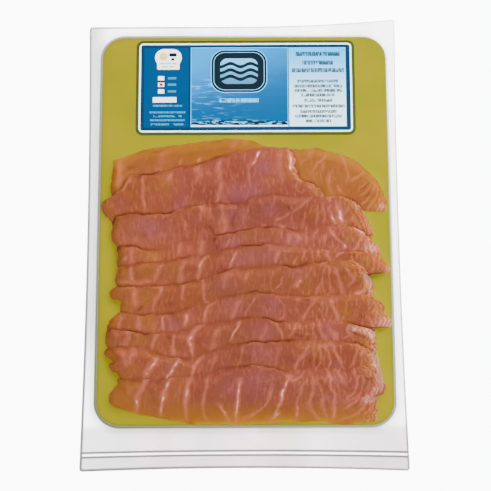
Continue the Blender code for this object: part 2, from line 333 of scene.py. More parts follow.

# Each slice, in millimetres from the card's middle: its top edge, left end, right end and lower
# edge; its lines of fat, each as (strength, width, points); where its blocks of flesh begin; its
# patches of painted sheen, then its orange and pale patches, each as (x, y, radius); how dark the
# flesh above lies in its shadow, as (x, strength); its dark folds, whose darkness is painted shade,
# drawn like the fat; and how far it is thin and gold.
SLICES = (
    {
        "top": [(-96, 50), (-80, 56), (-62, 60), (-40, 63), (-15, 66.5), (2, 66), (12, 62), (25, 58),
                (38, 58.3), (50, 59.5), (62, 57), (75, 53), (83, 49), (90, 42), (97, 34), (101, 25)],
        "left": [(-97, 35), (-97, 22), (-96, 12)],
        "right": [(103.5, 15), (101, 9.5)],
        "bottom": [(88, 11), (0, 10)],
        "fat": [
            (0.7, 3.0, [(-91, 49), (-92, 40), (-92, 27)]),
            (0.35, 2.6, [(-60, 58), (-60, 50), (-62, 40)]),
            (0.6, 1.0, [(-45, 51), (-47, 46)]),
            (0.9, 1.1, [(-33, 51), (-34, 46)]),
            (0.5, 1.6, [(-6, 66), (-9, 59)]),
            (0.4, 1.2, [(2, 65), (-1, 60)]),
            (0.4, 1.4, [(50, 58), (47, 52), (42, 47)]),
            (0.6, 1.0, [(60, 56), (59, 51), (53, 46), (49, 38)]),
            (0.5, 0.9, [(58, 48), (58, 43)]),
            (0.6, 1.1, [(63, 41), (62, 33), (64, 24)]),
            (0.65, 1.3, [(71, 55), (74, 46), (76, 38), (75, 32)]),
            (0.85, 1.0, [(69, 30), (71, 25)]),
            (0.7, 1.0, [(87, 40), (82, 36), (77, 33)]),
            (0.65, 0.8, [(91, 34), (88, 30), (84, 28)]),
            (0.7, 0.8, [(93, 31), (89, 25), (84, 22)]),
            (0.7, 0.8, [(96, 32), (94, 26), (90, 19), (84, 15)]),
            (0.75, 0.8, [(98, 30), (96, 22), (93, 15), (91, 12)]),
            (0.75, 0.8, [(100, 26), (98, 18), (96, 12)]),
            (0.8, 0.9, [(102, 22), (100, 15), (99, 11)]),
        ],
        "blocks": (-92, -76, -60, -46, -33, -15, 2, 16, 30, 42, 55, 68, 80, 90),
        "painted_sheen": [],
        "orange": [(55, 42, 12), (90, 25, 10), (-20, 57, 12), (-66, 56, 8)],
        "pale": [(101, 14, 3)],
        "shadow": [(-100, 0.3)],
        "folds": [(0.5, 2.0, [(-80, 45), (-86, 43)]), (0.5, 2.0, [(-68, 56), (-58, 57)]),
                  (0.17, 12.0, [(-88, 44), (-40, 56), (14, 62)]),
                  (0.5, 0.8, [(91, 33), (87, 27)]), (0.5, 0.8, [(94, 26), (90, 22)]),
                  (0.4, 2.4, [(57, 30), (57, 24)])],
        "thin": 0.85,
    },
    {
        "top": [(-86, 35.5), (-82, 37.8), (-70, 38.5), (-58, 40.5), (-46, 44), (-33, 46.5), (-24, 50),
                (-12, 54.5), (2, 57.5), (14, 59.3), (24, 60), (32.5, 59.5)],
        "left": [(-90, 27), (-96, 22.5), (-104, 17), (-101, 9), (-96, 2.5), (-95, -6)],
        "right": [(37, 51), (37.5, 42), (42, 34), (50, 31.5), (55, 26), (58, 20), (60, 6)],
        "bottom": [(-20, 0)],
        "fat": [
            (0.6, 0.9, [(-84, 36), (-87, 31), (-89, 26)]),
            (0.55, 1.3, [(-73, 38), (-74, 34), (-73.5, 24), (-73, 11)]),
            (0.6, 2.2, [(-54, 40), (-55, 33)]),
            (0.5, 2.2, [(-34, 45), (-34, 35)]),
            (0.55, 1.8, [(-18, 52), (-19, 42), (-17, 30), (-19, 22), (-20, 17)]),
            (0.85, 0.9, [(-19, 21), (-20, 17)]),
            (1.0, 1.1, [(11.3, 57), (8.5, 51), (6, 45)]),
            (0.45, 1.0, [(3, 46), (4, 38), (4, 28)]),
            (0.35, 2.6, [(27, 58), (26, 48), (28, 34)]),
            (1.0, 1.5, [(32, 57), (34.4, 47), (34, 40)]),
            (0.8, 0.9, [(39, 51), (36, 42)]),
            (0.7, 1.2, [(35, 40), (38, 36), (41, 33)]),
            (0.5, 0.9, [(39, 32), (38, 28), (41, 24)]),
            (0.4, 0.9, [(21, 35), (22, 30)]),
            (0.35, 1.6, [(48, 30), (52, 24), (54, 20)]),
        ],
        "blocks": (-96, -82, -73, -54, -35, -18, 4, 21, 35, 50),
        "painted_sheen": [(6, 26, 9), (-8, 24, 8), (-45, 14, 6), (14, 44, 8)],
        "orange": [(-84, 26, 9), (-60, 28, 8)],
        "pale": [],
        "shadow": [(-90, 0.3), (-77, 0.4), (-74, 0.9), (-68, 0.8), (-62, 0.3), (-45, 0.5), (-18, 0.6),
                   (-10, 0.2), (20, 0.1), (38, 0.4), (50, 0.6), (58, 0.7)],
        "folds": [(0.4, 1.5, [(-85, 31), (-80, 24)])],
        "thin": 0.1,
    },
    {
        "top": [(-93, 6.5), (-82, 8), (-68, 7.7), (-54, 8.7), (-45, 12), (-31, 14.5), (-20, 16),
                (-8, 15.5), (-1, 16), (4, 19.5), (10, 21.3), (25, 21.8), (45, 21), (57, 22), (70, 21)],
        "left": [(-95.5, -2), (-96, -10), (-93, -15), (-84, -34)],
        "right": [(79, 19), (84.5, 12.5), (89.5, 3), (92, -10), (86, -28)],
        "bottom": [(0, -30)],
        "fat": [
            (0.3, 1.0, [(-47, 9), (-44, 2), (-42, -10)]),
            (0.45, 1.6, [(-31, 14), (-32, 5)]),
            (0.5, 2.0, [(-16, 14), (-15, 5), (-14, -5)]),
            (0.4, 1.0, [(-26, 13), (-24, 5)]),
            (0.22, 1.8, [(6, 20), (2, 10), (0, 2)]),
            (0.45, 1.4, [(47, 19), (41, 13), (34, 9)]),
            (0.6, 0.9, [(35, 15), (33, 9), (30, 6), (22, 3)]),
            (0.35, 1.0, [(44, 9), (42, 0), (41, -4)]),
            (0.4, 1.2, [(53, 15), (52, 2)]),
            (0.5, 1.0, [(58, 12), (58, 2)]),
            (0.85, 1.1, [(63, 10), (65, 4), (66, -1)]),
            (1.0, 2.3, [(67, 16), (69, 9), (71, 1)]),
            (0.35, 1.2, [(76, 14), (73, 8)]),
            (0.5, 0.9, [(80, 7), (78, 3)]),
            (0.85, 1.0, [(80, 16), (82, 10)]),
            (0.6, 1.0, [(86, 10), (90, 1), (92, -6)]),
            (0.5, 0.8, [(12, -1), (15, 0)]),
            (0.7, 0.8, [(26, -1), (28, -2)]),
        ],
        "blocks": (-90, -72, -58, -44, -30, -14, 2, 19, 31, 43, 55, 64, 74, 84),
        "painted_sheen": [(18, 11, 6), (-70, -2, 12), (-8, 6, 7), (69, 10, 5)],
        "orange": [(79, 4, 5), (-6, 4, 6), (50, 9, 5)],
        "pale": [],
        "shadow": [(-93, 0.7), (-80, 0.9), (-56, 0.9), (-50, 0.4), (-32, 0.6), (-28, 0.0), (-20, 0.5),
                   (-8, 0.4), (-2, 0.0), (6, 0.3), (25, 0.2), (40, 0.0), (62, 0.0), (74, 0.5)],
        "folds": [(0.8, 0.9, [(-26, 0), (-22, -6), (-21, -10)]), (0.7, 0.9, [(31, 14), (33, 10)]),
                  (0.5, 1.6, [(-3, 14), (-8, 4), (-6, -3)]), (0.6, 1.0, [(80, 1), (77, 0)]),
                  (0.6, 1.0, [(84, 12), (86, 12)])],
        "thin": 0.15,
    },
    {
        "top": [(-90, -16), (-80, -17), (-65, -18.5), (-55, -16), (-45, -11.7), (-36, -11), (-20, -8),
                (-11, -7), (-2, -5), (10, -2.5), (20, -2.5), (30, -3.5), (36, -5.5), (45, -4),
                (58, -0.5), (70, 0), (79, -1.5)],
        "left": [(-92, -24), (-91.5, -31), (-84, -46)],
        "right": [(84, -5.5), (89, -10), (94, -14), (97.5, -20), (96, -28), (86, -45)],
        "bottom": [(0, -48)],
        "fat": [
            (0.6, 1.8, [(-82, -18), (-82, -29)]),
            (0.8, 1.0, [(-86, -24), (-88, -26)]),
            (0.5, 1.6, [(-46, -13), (-49, -22)]),
            (0.6, 1.8, [(-30, -11), (-32, -21)]),
            (0.6, 1.2, [(-11, -11), (-14, -17)]),
            (0.5, 1.2, [(12, -12), (15, -14)]),
            (0.45, 1.4, [(33, -8), (32, -15)]),
            (0.45, 1.2, [(39, -8), (39, -14)]),
            (0.45, 1.1, [(54, -3), (50, -10)]),
            (0.6, 1.0, [(59, -8), (58, -15)]),
            (0.75, 1.0, [(62, -2), (65, -8), (69, -13), (73, -18)]),
            (1.0, 1.7, [(71, -15), (73, -18)]),
            (0.8, 1.0, [(86, -8), (84, -13), (81, -18), (76, -19.5)]),
            (1.0, 1.7, [(80, -2.5), (85, -5.5), (88, -8.5)]),
            (0.6, 1.0, [(89, -9), (88, -15)]),
            (0.9, 0.7, [(88, -17), (87, -22)]),
            (0.9, 0.7, [(91, -16), (90, -22)]),
            (0.9, 0.7, [(94, -16), (93, -22)]),
            (0.9, 0.7, [(96.5, -17), (96, -22)]),
        ],
        "blocks": (-82, -66, -48, -31, -12, 12, 33, 46, 57, 68, 80, 90),
        "painted_sheen": [(-9, -14, 6), (36, -12, 7), (73, -17, 4)],
        "orange": [(-70, -23, 10), (5, -10, 8), (75, -11, 5)],
        "pale": [(92.5, -17.5, 5)],
        "shadow": [(-92, 0.7), (-76, 1.0), (-68, 0.4), (-60, 0.0), (-26, 0.0), (-18, 0.7), (-8, 0.8),
                   (2, 0.7), (18, 0.6), (28, 0.3), (34, 0.9), (38, 0.5), (42, 0.0), (70, 0.0), (84, 0.5)],
        "folds": [(0.8, 0.9, [(-21, -9), (-22, -14), (-20, -19)]), (0.6, 1.0, [(12, -14), (17, -13)])],
        "thin": 0.15,
    },
    {
        "top": [(-91, -31), (-84, -31), (-78, -29.7), (-62, -28.5), (-50, -27), (-40, -24.5), (-31, -24),
                (-22, -20.5), (-12, -17.5), (0, -16.5), (10, -16.5), (20, -15), (32, -17), (45, -18),
                (58, -19), (66, -22.5), (72, -21), (78, -21.5)],
        "left": [(-92.5, -38), (-92, -44), (-84, -60)],
        "right": [(89, -22), (97, -23), (100.5, -26), (102.5, -30), (105, -32.5), (103.5, -35.3),
                  (96, -36.6), (89, -38), (84, -56)],
        "bottom": [(0, -62)],
        "fat": [
            (0.65, 1.8, [(-82, -31), (-81, -42)]),
            (0.45, 1.6, [(-92, -42), (-80, -43), (-66, -42)]),
            (0.4, 1.2, [(-91, -32), (-92, -36)]),
            (0.6, 1.5, [(-60, -29), (-62, -35), (-65, -42)]),
            (0.6, 1.8, [(-43, -27), (-46, -34), (-46, -42)]),
            (0.8, 1.5, [(-26, -23), (-31, -29), (-33, -36), (-34, -42)]),
            (1.0, 1.3, [(-5, -20), (-8, -26), (-11, -32)]),
            (0.7, 1.5, [(24, -21), (21, -29)]),
            (0.5, 1.0, [(38, -25), (35, -30)]),
            (0.45, 0.9, [(45, -20), (41, -27)]),
            (0.4, 0.9, [(50, -20), (48, -28)]),
            (0.55, 0.9, [(54, -19), (54, -26)]),
            (0.6, 1.7, [(59, -20), (62, -28), (64, -33)]),
            (0.8, 1.0, [(72, -21), (67, -24)]),
            (0.6, 1.0, [(77, -25), (80, -29), (84, -31)]),
            (0.4, 0.8, [(86, -25), (85, -33)]),
            (0.55, 0.8, [(90, -24), (88, -33)]),
            (0.8, 0.9, [(94, -25), (93, -33), (90, -38)]),
            (0.6, 0.8, [(98, -28), (97, -34)]),
        ],
        "blocks": (-81, -62, -45, -31, -8, 10, 22, 36, 47, 57, 67, 78, 90),
        "painted_sheen": [(20, -23, 8), (4, -24, 8), (-6, -26, 7)],
        "orange": [(-70, -36, 9), (92, -30, 10), (-50, -34, 6)],
        "pale": [(104, -34.5, 3.5)],
        "shadow": [(-91, 0.4), (-75, 0.55), (-42, 0.5), (-30, 0.0), (-10, 0.0), (0, 0.8), (13, 1.0),
                   (20, 0.2), (32, 0.0), (70, 0.0), (78, 0.4), (96, 0.1)],
        "folds": [(0.7, 1.0, [(-8, -33), (-15, -34), (-17, -30)]),
                  (0.9, 1.1, [(33, -31), (38, -32), (47, -28)]), (0.6, 1.0, [(50, -28), (58, -29)])],
        "thin": 0.3,
    },
    {
        "top": [(-92, -45.5), (-85, -46.5), (-72, -46), (-60, -46), (-52, -45), (-45, -44.5), (-38, -42),
                (-28, -40.5), (-18, -37), (-12, -34), (-4, -32.5), (10, -31.5), (22, -31.5),
                (33, -33), (38, -32.5), (45, -30.5), (55, -28.5), (66, -27.5), (76, -27)],
        "left": [(-96.5, -49), (-96, -54), (-88.5, -56.5), (-88, -65), (-82, -78)],
        "right": [(83, -32), (88, -37), (92, -44), (92, -52), (90, -62), (88, -76)],
        "bottom": [(0, -78)],
        "fat": [
            (0.65, 2.0, [(-79, -47), (-79, -60)]),
            (0.65, 1.6, [(-60, -46), (-62, -53), (-66, -63)]),
            (0.65, 1.4, [(-44, -44), (-45, -56)]),
            (0.65, 1.0, [(-30, -41), (-30, -50), (-28, -57), (-24, -59)]),
            (0.4, 1.6, [(-13, -36), (-15, -48)]),
            (0.4, 1.3, [(3, -34), (0, -44)]),
            (0.7, 1.0, [(27, -40), (25, -45), (22, -48)]),
            (1.0, 1.3, [(40, -41), (39, -44), (37, -47)]),
            (0.35, 1.4, [(48, -33), (44, -40)]),
            (0.6, 1.0, [(53, -46), (52, -53)]),
            (0.5, 1.0, [(57, -31), (56, -42), (55, -50)]),
            (0.6, 1.0, [(61, -32), (61, -44), (62, -51)]),
            (0.7, 1.1, [(65, -33), (68, -42), (70, -49), (71, -53)]),
            (0.8, 1.2, [(72, -33), (77, -39), (78, -42), (75, -46)]),
            (0.6, 0.9, [(80, -36), (79, -41)]),
            (0.9, 1.3, [(87, -38), (87, -45), (84, -50), (78, -53)]),
            (0.9, 1.0, [(90, -42), (90, -50), (87, -54), (83, -56)]),
            (0.4, 0.9, [(84, -33), (84, -38)]),
        ],
        "blocks": (-80, -61, -44, -29, -14, 2, 13, 25, 37, 48, 58, 67, 77, 87),
        "painted_sheen": [(38, -38, 8), (-14, -44, 7)],
        "orange": [(45, -44, 5), (-70, -54, 10), (-90, -51, 5), (73, -41, 3)],
        "pale": [(93, -50, 1.5)],
        "shadow": [(-95, 0.7), (-64, 0.6), (-56, 0.35), (-40, 0.5), (-24, 0.1), (-17, 0.8), (-9, 0.4),
                   (4, 0.1), (26, 0.2), (34, 1.0), (40, 0.3), (50, 0.5), (57, 0.6), (62, 0.0), (76, 0.1)],
        "folds": [(0.6, 1.2, [(-73, -60), (-76, -64)]), (0.5, 2.5, [(-58, -60), (-52, -58)]),
                  (0.7, 0.8, [(89, -53), (86, -57)]), (0.5, 1.0, [(80, -45), (83, -44)])],
        "thin": 0.35,
    },
    {
        "top": [(-90, -64.5), (-82, -66), (-74, -67.5), (-66, -66.5), (-56, -66.5), (-48, -65),
                (-40, -62.5), (-28, -59), (-22, -56.5), (-15, -53.5), (-5, -52), (8, -51.5),
                (22, -52), (32, -53.5), (45, -54), (60, -53), (75, -52), (86, -53)],
        "left": [(-94, -68), (-97, -72), (-98, -77), (-88, -98)],
        "right": [(92.5, -54.5), (98, -58), (100, -64), (102, -68.5), (105, -72), (103.5, -76),
                  (98, -76.3), (94, -75), (88, -96)],
        "bottom": [(0, -98)],
        "fat": [
            (0.6, 1.8, [(-76, -67), (-76, -78)]),
            (0.5, 1.2, [(-89, -66), (-90, -77)]),
            (0.9, 1.1, [(-58, -68), (-58.5, -77)]),
            (0.9, 1.1, [(-42, -66), (-43, -75)]),
            (0.75, 1.1, [(-20, -56), (-26, -61), (-28, -67), (-29, -73)]),
            (0.55, 1.8, [(-4, -57), (-7, -64), (-9, -70)]),
            (0.45, 1.0, [(9, -54), (5, -60), (0, -68)]),
            (0.5, 0.9, [(24, -54), (28, -61), (28, -67), (23, -73)]),
            (0.65, 1.1, [(51, -57), (47, -62), (43, -67), (40, -71)]),
            (0.6, 0.9, [(55, -57), (55, -66), (56, -74)]),
            (0.4, 0.9, [(58, -59), (59, -70)]),
            (0.9, 1.4, [(62, -56), (64, -62), (66, -68), (67, -75)]),
            (0.3, 1.4, [(84, -57), (80, -64), (76, -72)]),
            (0.7, 0.7, [(89, -56), (87, -63)]),
            (0.7, 0.7, [(92, -57), (89, -66)]),
            (0.7, 0.7, [(94.5, -59), (92, -67)]),
            (0.7, 0.7, [(97, -61), (94.5, -68)]),
            (0.85, 1.0, [(88, -69), (91, -74), (93, -78)]),
        ],
        "blocks": (-89, -77, -58, -42, -27, -6, 8, 27, 40, 49, 58, 66, 78, 88),
        "painted_sheen": [(20, -62, 8), (-8, -62, 9), (-53, -73, 8)],
        "orange": [(72, -67, 7), (95, -64, 8), (-66, -72, 6), (10, -72, 8)],
        "pale": [(99, -73, 5), (104, -73, 4)],
        "shadow": [(-92, 0.3), (-78, 0.6), (-70, 0.45), (-62, 0.55), (-48, 0.5), (-36, 0.0), (-12, 0.0),
                   (4, 0.5), (30, 0.5), (40, 0.1), (46, 0.4), (56, 0.1), (76, 0.0)],
        "folds": [(0.5, 2.5, [(-53, -62), (-48, -72)]), (0.7, 0.9, [(44, -57), (48, -56)]),
                  (0.6, 0.7, [(88, -59), (86, -64)]), (0.6, 0.7, [(91, -60), (88, -66)])],
        "thin": 0.25,
    },
    {
        "top": [(-98, -77), (-90, -78.5), (-78, -79.5), (-65, -81), (-58, -80.5), (-48, -80), (-41, -79),
                (-35, -75.5), (-28, -73.5), (-18, -72), (-10, -71), (-2, -70), (8, -69.5),
                (17, -70.5), (24, -73), (32, -73), (42, -72), (55, -70.5), (68, -72), (76, -75.5)],
        "left": [(-99, -83), (-98.5, -89), (-88, -112)],
        "right": [(85, -77), (92, -79.5), (94.5, -85), (94, -94), (90, -112)],
        "bottom": [(0, -116)],
        "fat": [
            (0.5, 1.6, [(-84, -79), (-84, -90)]),
            (0.65, 1.4, [(-62, -81), (-65, -88), (-67, -94)]),
            (0.75, 1.5, [(-50, -81), (-51, -88), (-51, -96)]),
            (0.85, 1.4, [(-30, -73.5), (-37, -79), (-39.2, -87), (-37.5, -97)]),
            (0.45, 2.2, [(-19, -78), (-24, -93)]),
            (0.9, 0.9, [(-3, -71), (-7, -79), (-10, -86)]),
            (0.35, 1.6, [(15, -75), (12, -86)]),
            (0.55, 1.0, [(22, -73), (26, -80), (27, -86)]),
            (0.55, 1.0, [(37, -72), (35, -78), (32, -83)]),
            (0.7, 1.0, [(46, -81), (43, -84)]),
            (0.4, 0.9, [(49, -73), (48, -84)]),
            (0.75, 1.1, [(53, -71), (54, -79), (57, -85), (60, -89)]),
            (0.65, 1.6, [(60, -77), (63, -82), (66, -87)]),
            (0.6, 0.9, [(69, -85), (75, -82)]),
            (1.0, 1.1, [(74, -75), (72, -79), (75, -82)]),
            (1.0, 1.0, [(78, -77), (81, -79), (85, -76.5)]),
            (0.9, 0.8, [(86, -78), (88, -84)]),
            (0.9, 0.8, [(90, -79), (91, -85)]),
        ],
        "blocks": (-84, -65, -51, -37, -22, -7, 14, 27, 38, 48, 57, 66, 76, 86),
        "painted_sheen": [(60, -81, 7), (14, -80, 8)],
        "orange": [(-74, -86, 8), (-5, -86, 8), (86, -84, 5)],
        "pale": [(78, -78, 3), (86, -79, 4), (91, -82, 3)],
        "shadow": [(-98, 0.35), (-88, 0.5), (-80, 0.65), (-50, 0.55), (-38, 0.1), (-10, 0.1), (2, 0.5),
                   (20, 0.7), (26, 1.0), (32, 0.1), (70, 0.0), (78, 0.9), (88, 1.0)],
        "folds": [(0.5, 3.0, [(-57, -82), (-53, -84)]), (0.6, 1.0, [(36, -82), (46, -84)]),
                  (0.9, 1.0, [(77, -80), (80, -82)]), (0.7, 1.0, [(80, -82), (86, -84)])],
        "thin": 0.2,
    },
    {
        "top": [(-98, -91), (-88, -90.5), (-78, -90), (-68, -92), (-63, -95.5), (-54, -98), (-45, -99),
                (-36, -98.5), (-31, -97), (-22, -92.5), (-14, -89.5), (-4, -88.5), (10, -88),
                (25, -87.5), (31, -87), (40, -86), (55, -86), (68, -87), (80, -88.5)],
        "left": [(-100, -95), (-93, -100.5), (-96, -102.5), (-94, -107), (-89, -111), (-84, -127)],
        "right": [(87, -92), (92, -97), (95, -103), (96, -112), (88, -128)],
        "bottom": [(0, -134)],
        "fat": [
            (0.5, 2.0, [(-87, -93), (-85, -99), (-84, -105)]),
            (0.45, 1.8, [(-79, -91), (-82, -103)]),
            (0.9, 2.0, [(-62, -97), (-66, -104), (-71, -111)]),
            (0.95, 1.3, [(-46, -99), (-50, -105), (-55, -113), (-58, -118)]),
            (0.8, 1.2, [(-31, -97), (-36, -104), (-37, -112)]),
            (0.45, 1.4, [(-20, -96), (-24, -108)]),
            (0.3, 1.6, [(-1, -90), (-3, -104)]),
            (0.35, 1.6, [(24, -90), (21, -104)]),
            (0.65, 1.1, [(46, -88), (42, -96), (37, -102), (35, -108)]),
            (0.55, 1.1, [(49, -92), (49, -100), (47, -108)]),
            (0.65, 1.0, [(54, -87), (54, -99), (52, -105), (48, -107)]),
            (0.6, 1.0, [(57, -88), (60, -97), (60, -105)]),
            (0.9, 1.1, [(62, -87), (65, -96), (68, -103), (72, -107.5), (76, -104), (79, -97), (81, -91)]),
            (0.85, 0.9, [(84, -99), (82, -106), (78, -111)]),
            (1.0, 1.2, [(84, -93), (83, -98)]),
            (0.65, 0.9, [(87, -93), (86, -101), (84, -107)]),
            (0.65, 0.9, [(90, -96), (89, -104), (87, -110)]),
            (0.6, 0.9, [(93, -101), (91, -110)]),
        ],
        "blocks": (-84, -67, -51, -35, -22, -1, 22, 39, 49, 57, 66, 78, 88),
        "painted_sheen": [(12, -96, 10), (-53, -107, 5), (66, -104, 5)],
        "orange": [(-94, -95, 7), (0, -100, 9), (53, -98, 5), (-80, -106, 8)],
        "pale": [(92, -104, 3)],
        "shadow": [(-100, 0.5), (-85, 0.3), (-72, 0.1), (-56, 0.45), (-46, 0.45), (-36, 0.1), (-16, 0.1),
                   (2, 0.6), (24, 0.7), (33, 0.9), (38, 0.2), (66, 0.1), (76, 0.6), (82, 0.7)],
        "folds": [(0.4, 2.0, [(-94, -92), (-90, -99)]), (0.6, 1.0, [(30, -87), (34, -86)]),
                  (0.4, 3.0, [(-10, -96), (4, -99)]), (0.5, 1.6, [(51, -99), (51, -104)])],
        "thin": 0.2,
    },
    {
        "top": [(-90, -112.5), (-82, -114.5), (-70, -113), (-60, -114.5), (-50, -113), (-40, -112.5),
                (-30, -111), (-24, -109.5), (-14, -106), (-5, -105), (10, -105), (22, -106),
                (28, -108.5), (36, -107), (50, -105), (65, -106), (80, -105), (89, -103.5)],
        "left": [(-91, -118), (-96, -126), (-93, -132), (-85, -135.3)],
        "right": [(94, -106), (97, -113), (99.5, -122), (94, -127), (94, -136), (92, -143.5)],
        "bottom": [(80, -145.7), (60, -145.3), (48, -143.8), (34, -144), (20, -145.5), (0, -145.9),
                   (-20, -145.9), (-40, -145.2), (-50, -143.5), (-60, -141), (-75, -138)],
        "fat": [
            (0.9, 1.8, [(-69, -113), (-73, -120), (-76.2, -128), (-77, -138)]),
            (0.35, 1.8, [(-85, -116), (-82, -124)]),
            (0.9, 1.6, [(-51.5, -113), (-55.5, -118), (-58.5, -126), (-59.2, -140)]),
            (0.85, 1.6, [(-37.5, -112), (-40.5, -120), (-41.6, -131), (-42, -145)]),
            (0.6, 1.2, [(-25, -110), (-28, -119), (-30, -134), (-26, -145)]),
            (0.8, 1.3, [(-18.5, -131), (-16.3, -136), (-10, -145)]),
            (1.0, 1.5, [(-3.4, -114), (-4.8, -125), (-6, -136), (-6.6, -146)]),
            (0.75, 1.2, [(19.5, -118), (16.5, -127), (12.5, -134), (6, -139), (-1, -142)]),
            (0.95, 1.4, [(32, -112), (26.5, -123), (24.5, -133), (19, -141), (17, -145)]),
            (0.9, 2.0, [(24, -137), (18, -143)]),
            (0.55, 1.1, [(43, -108), (38, -113), (32, -116)]),
            (0.65, 1.1, [(44, -115), (40, -122), (37, -129), (36, -135)]),
            (1.0, 1.2, [(37.5, -132), (37.5, -140)]),
            (0.8, 1.2, [(49, -110), (48, -121), (46, -128), (46, -133), (49, -139), (53, -144)]),
            (0.75, 1.1, [(54, -118), (55, -126), (54.5, -132), (56.5, -138), (58.5, -143)]),
            (0.8, 1.1, [(57, -106), (60, -113), (61, -119), (63, -126), (62, -136)]),
            (1.0, 1.5, [(64, -130), (64, -136), (63, -142)]),
            (0.6, 1.4, [(64, -107), (68, -113), (71, -118)]),
            (0.6, 0.9, [(77, -108), (79, -116), (76, -124), (70, -129)]),
            (0.6, 0.9, [(84, -114), (82, -122), (78, -127), (71, -130)]),
            (1.0, 0.9, [(80, -128), (75, -132), (70, -135)]),
            (0.75, 0.9, [(88, -116), (86, -124), (83, -130), (80, -134)]),
            (0.8, 1.0, [(87, -129), (82, -136), (75, -140), (66, -143.5)]),
            (0.7, 0.8, [(91, -130), (88, -136), (83, -140)]),
            (0.6, 0.8, [(94, -134), (90, -140)]),
            (0.6, 0.9, [(93, -112), (92, -120)]),
        ],
        "blocks": (-75, -57, -42, -28, -14, -6, 9, 25, 37, 46, 55, 64, 76, 88),
        "painted_sheen": [(-8, -120, 8), (10, -116, 10), (62, -128, 5), (65, -114, 6)],
        "orange": [(-85, -120, 10), (-66, -128, 9), (-80, -130, 8), (-50, -131, 9), (-34, -138, 9),
                   (40, -139, 12), (70, -139, 9)],
        "pale": [(90, -127.5, 4), (86, -129, 3), (93, -122, 3)],
        "shadow": [(-92, 0.5), (-76, 0.3), (-50, 0.3), (-42, 0.0), (-22, 0.1), (-8, 0.5), (26, 0.6),
                   (32, 0.2), (40, 0.0), (88, 0.0)],
        "folds": [(0.35, 3.0, [(-66, -118), (-64, -130)]), (0.35, 3.0, [(-88, -122), (-82, -116)]),
                  (0.6, 1.0, [(85, -113), (88, -115)])],
        "thin": 0.45,
    },
)


def unevenness(x, y, size, seed):
    """Soft random hills from -1 to 1: a random value at each corner of a square lattice of the
    given size, blended between corners by an S-curve in both directions."""
    table = np.random.default_rng(seed).uniform(-1, 1, (97, 97))
    i, j = np.floor(x / size).astype(int), np.floor(y / size).astype(int)
    s, t = smooth(x / size - i), smooth(y / size - j)
    corner = [[table[(i + a) % 97, (j + b) % 97] for b in (0, 1)] for a in (0, 1)]
    low = corner[0][0] * (1 - s) + corner[1][0] * s
    high = corner[0][1] * (1 - s) + corner[1][1] * s
    return low * (1 - t) + high * t


def smooth_path(points, count):
    """Evenly spaced points along a smooth curve through the given ones: between two of them it is
    the cubic whose end slopes are set by their neighbours."""
    p = np.asarray(points, float)
    p = np.concatenate([[2 * p[0] - p[1]], p, [2 * p[-1] - p[-2]]])
    t = np.linspace(0, 1, 20, endpoint=False)[None, :, None]
    a, b, c, d = (p[i : len(p) - 3 + i, None] for i in range(4))
    spans = 2 * b + (c - a) * t + (2 * a - 5 * b + 4 * c - d) * t**2 + (3 * b - a - 3 * c + d) * t**3
    line = np.concatenate([spans.reshape(-1, 2) / 2, p[-2:-1]])
    length = np.concatenate([[0], np.cumsum(np.hypot(*np.diff(line, axis=0).T))])
    even = np.linspace(0, length[-1], count)
    return np.stack([np.interp(even, length, line[:, axis]) for axis in (0, 1)], axis=-1)


def ragged(line, across, seed, fine=0.25):
    """A slice's edge with nicks: each point moves along the direction across by coarse, middling
    and fine unevenness read along the line."""
    run = np.concatenate([[0], np.cumsum(np.hypot(*np.diff(line, axis=0).T))])
    nick = 0.55 * unevenness(run, run * 0, 9, seed) + 0.5 * unevenness(run, run * 0, 4, seed + 1)
    nick = nick + fine * unevenness(run, run * 0, 1.7, seed + 3)
    fade = np.minimum(smooth(run / 4), smooth((run[-1] - run) / 4))
    return line + (nick * fade)[:, None] * across


def slice_grid(sizes, seed):
    """The slice's outline filled with a grid: each point blends the two long edges with the two
    ends, less the corners counted twice. Rows run from the top edge to the lower one."""
    right_corner, left_corner = sizes["right"][-1], sizes["left"][-1]
    top = smooth_path(sizes["top"], SLICE_COLUMNS)
    bottom = smooth_path([left_corner, *sizes["bottom"][::-1], right_corner], SLICE_COLUMNS)
    left = smooth_path([sizes["top"][0], *sizes["left"]], SLICE_ROWS)
    right = smooth_path([sizes["top"][-1], *sizes["right"]], SLICE_ROWS)
    top, bottom = ragged(top, (0.15, 1.0), seed), ragged(bottom, (0, 0.9), seed + 2)
    left, right = ragged(left, (1.1, 0), seed + 4), ragged(right, (1.5, 0.3), seed + 6, 0.7)
    u = np.linspace(0, 1, SLICE_COLUMNS)[None, :, None]
    v = np.linspace(0, 1, SLICE_ROWS)[:, None, None]
    long_edges = (1 - v) * top[None] + v * bottom[None]
    ends = (1 - u) * left[:, None] + u * right[:, None]
    corners = (1 - v) * ((1 - u) * top[0] + u * top[-1]) + v * ((1 - u) * bottom[0] + u * bottom[-1])
    place = long_edges + ends - corners
    return place[..., 0] * SLICE_SPREAD, place[..., 1]


def shell_faces(rows, columns):
    """Quads of a closed slab: a front grid, a back grid numbered after it, and a wall round both."""
    number = np.arange(rows * columns).reshape(rows, columns)
    front = np.stack([number[:-1, :-1], number[:-1, 1:], number[1:, 1:], number[1:, :-1]], axis=-1)
    front = front.reshape(-1, 4)
    back = front[:, ::-1] + rows * columns
    around = np.concatenate([number[0], number[1:, -1], number[-1, -2::-1], number[-2:0:-1, 0]])
    after = np.roll(around, -1)
    wall = np.stack([after, around, around + rows * columns, after + rows * columns], axis=-1)
    return np.concatenate([front, back, wall])


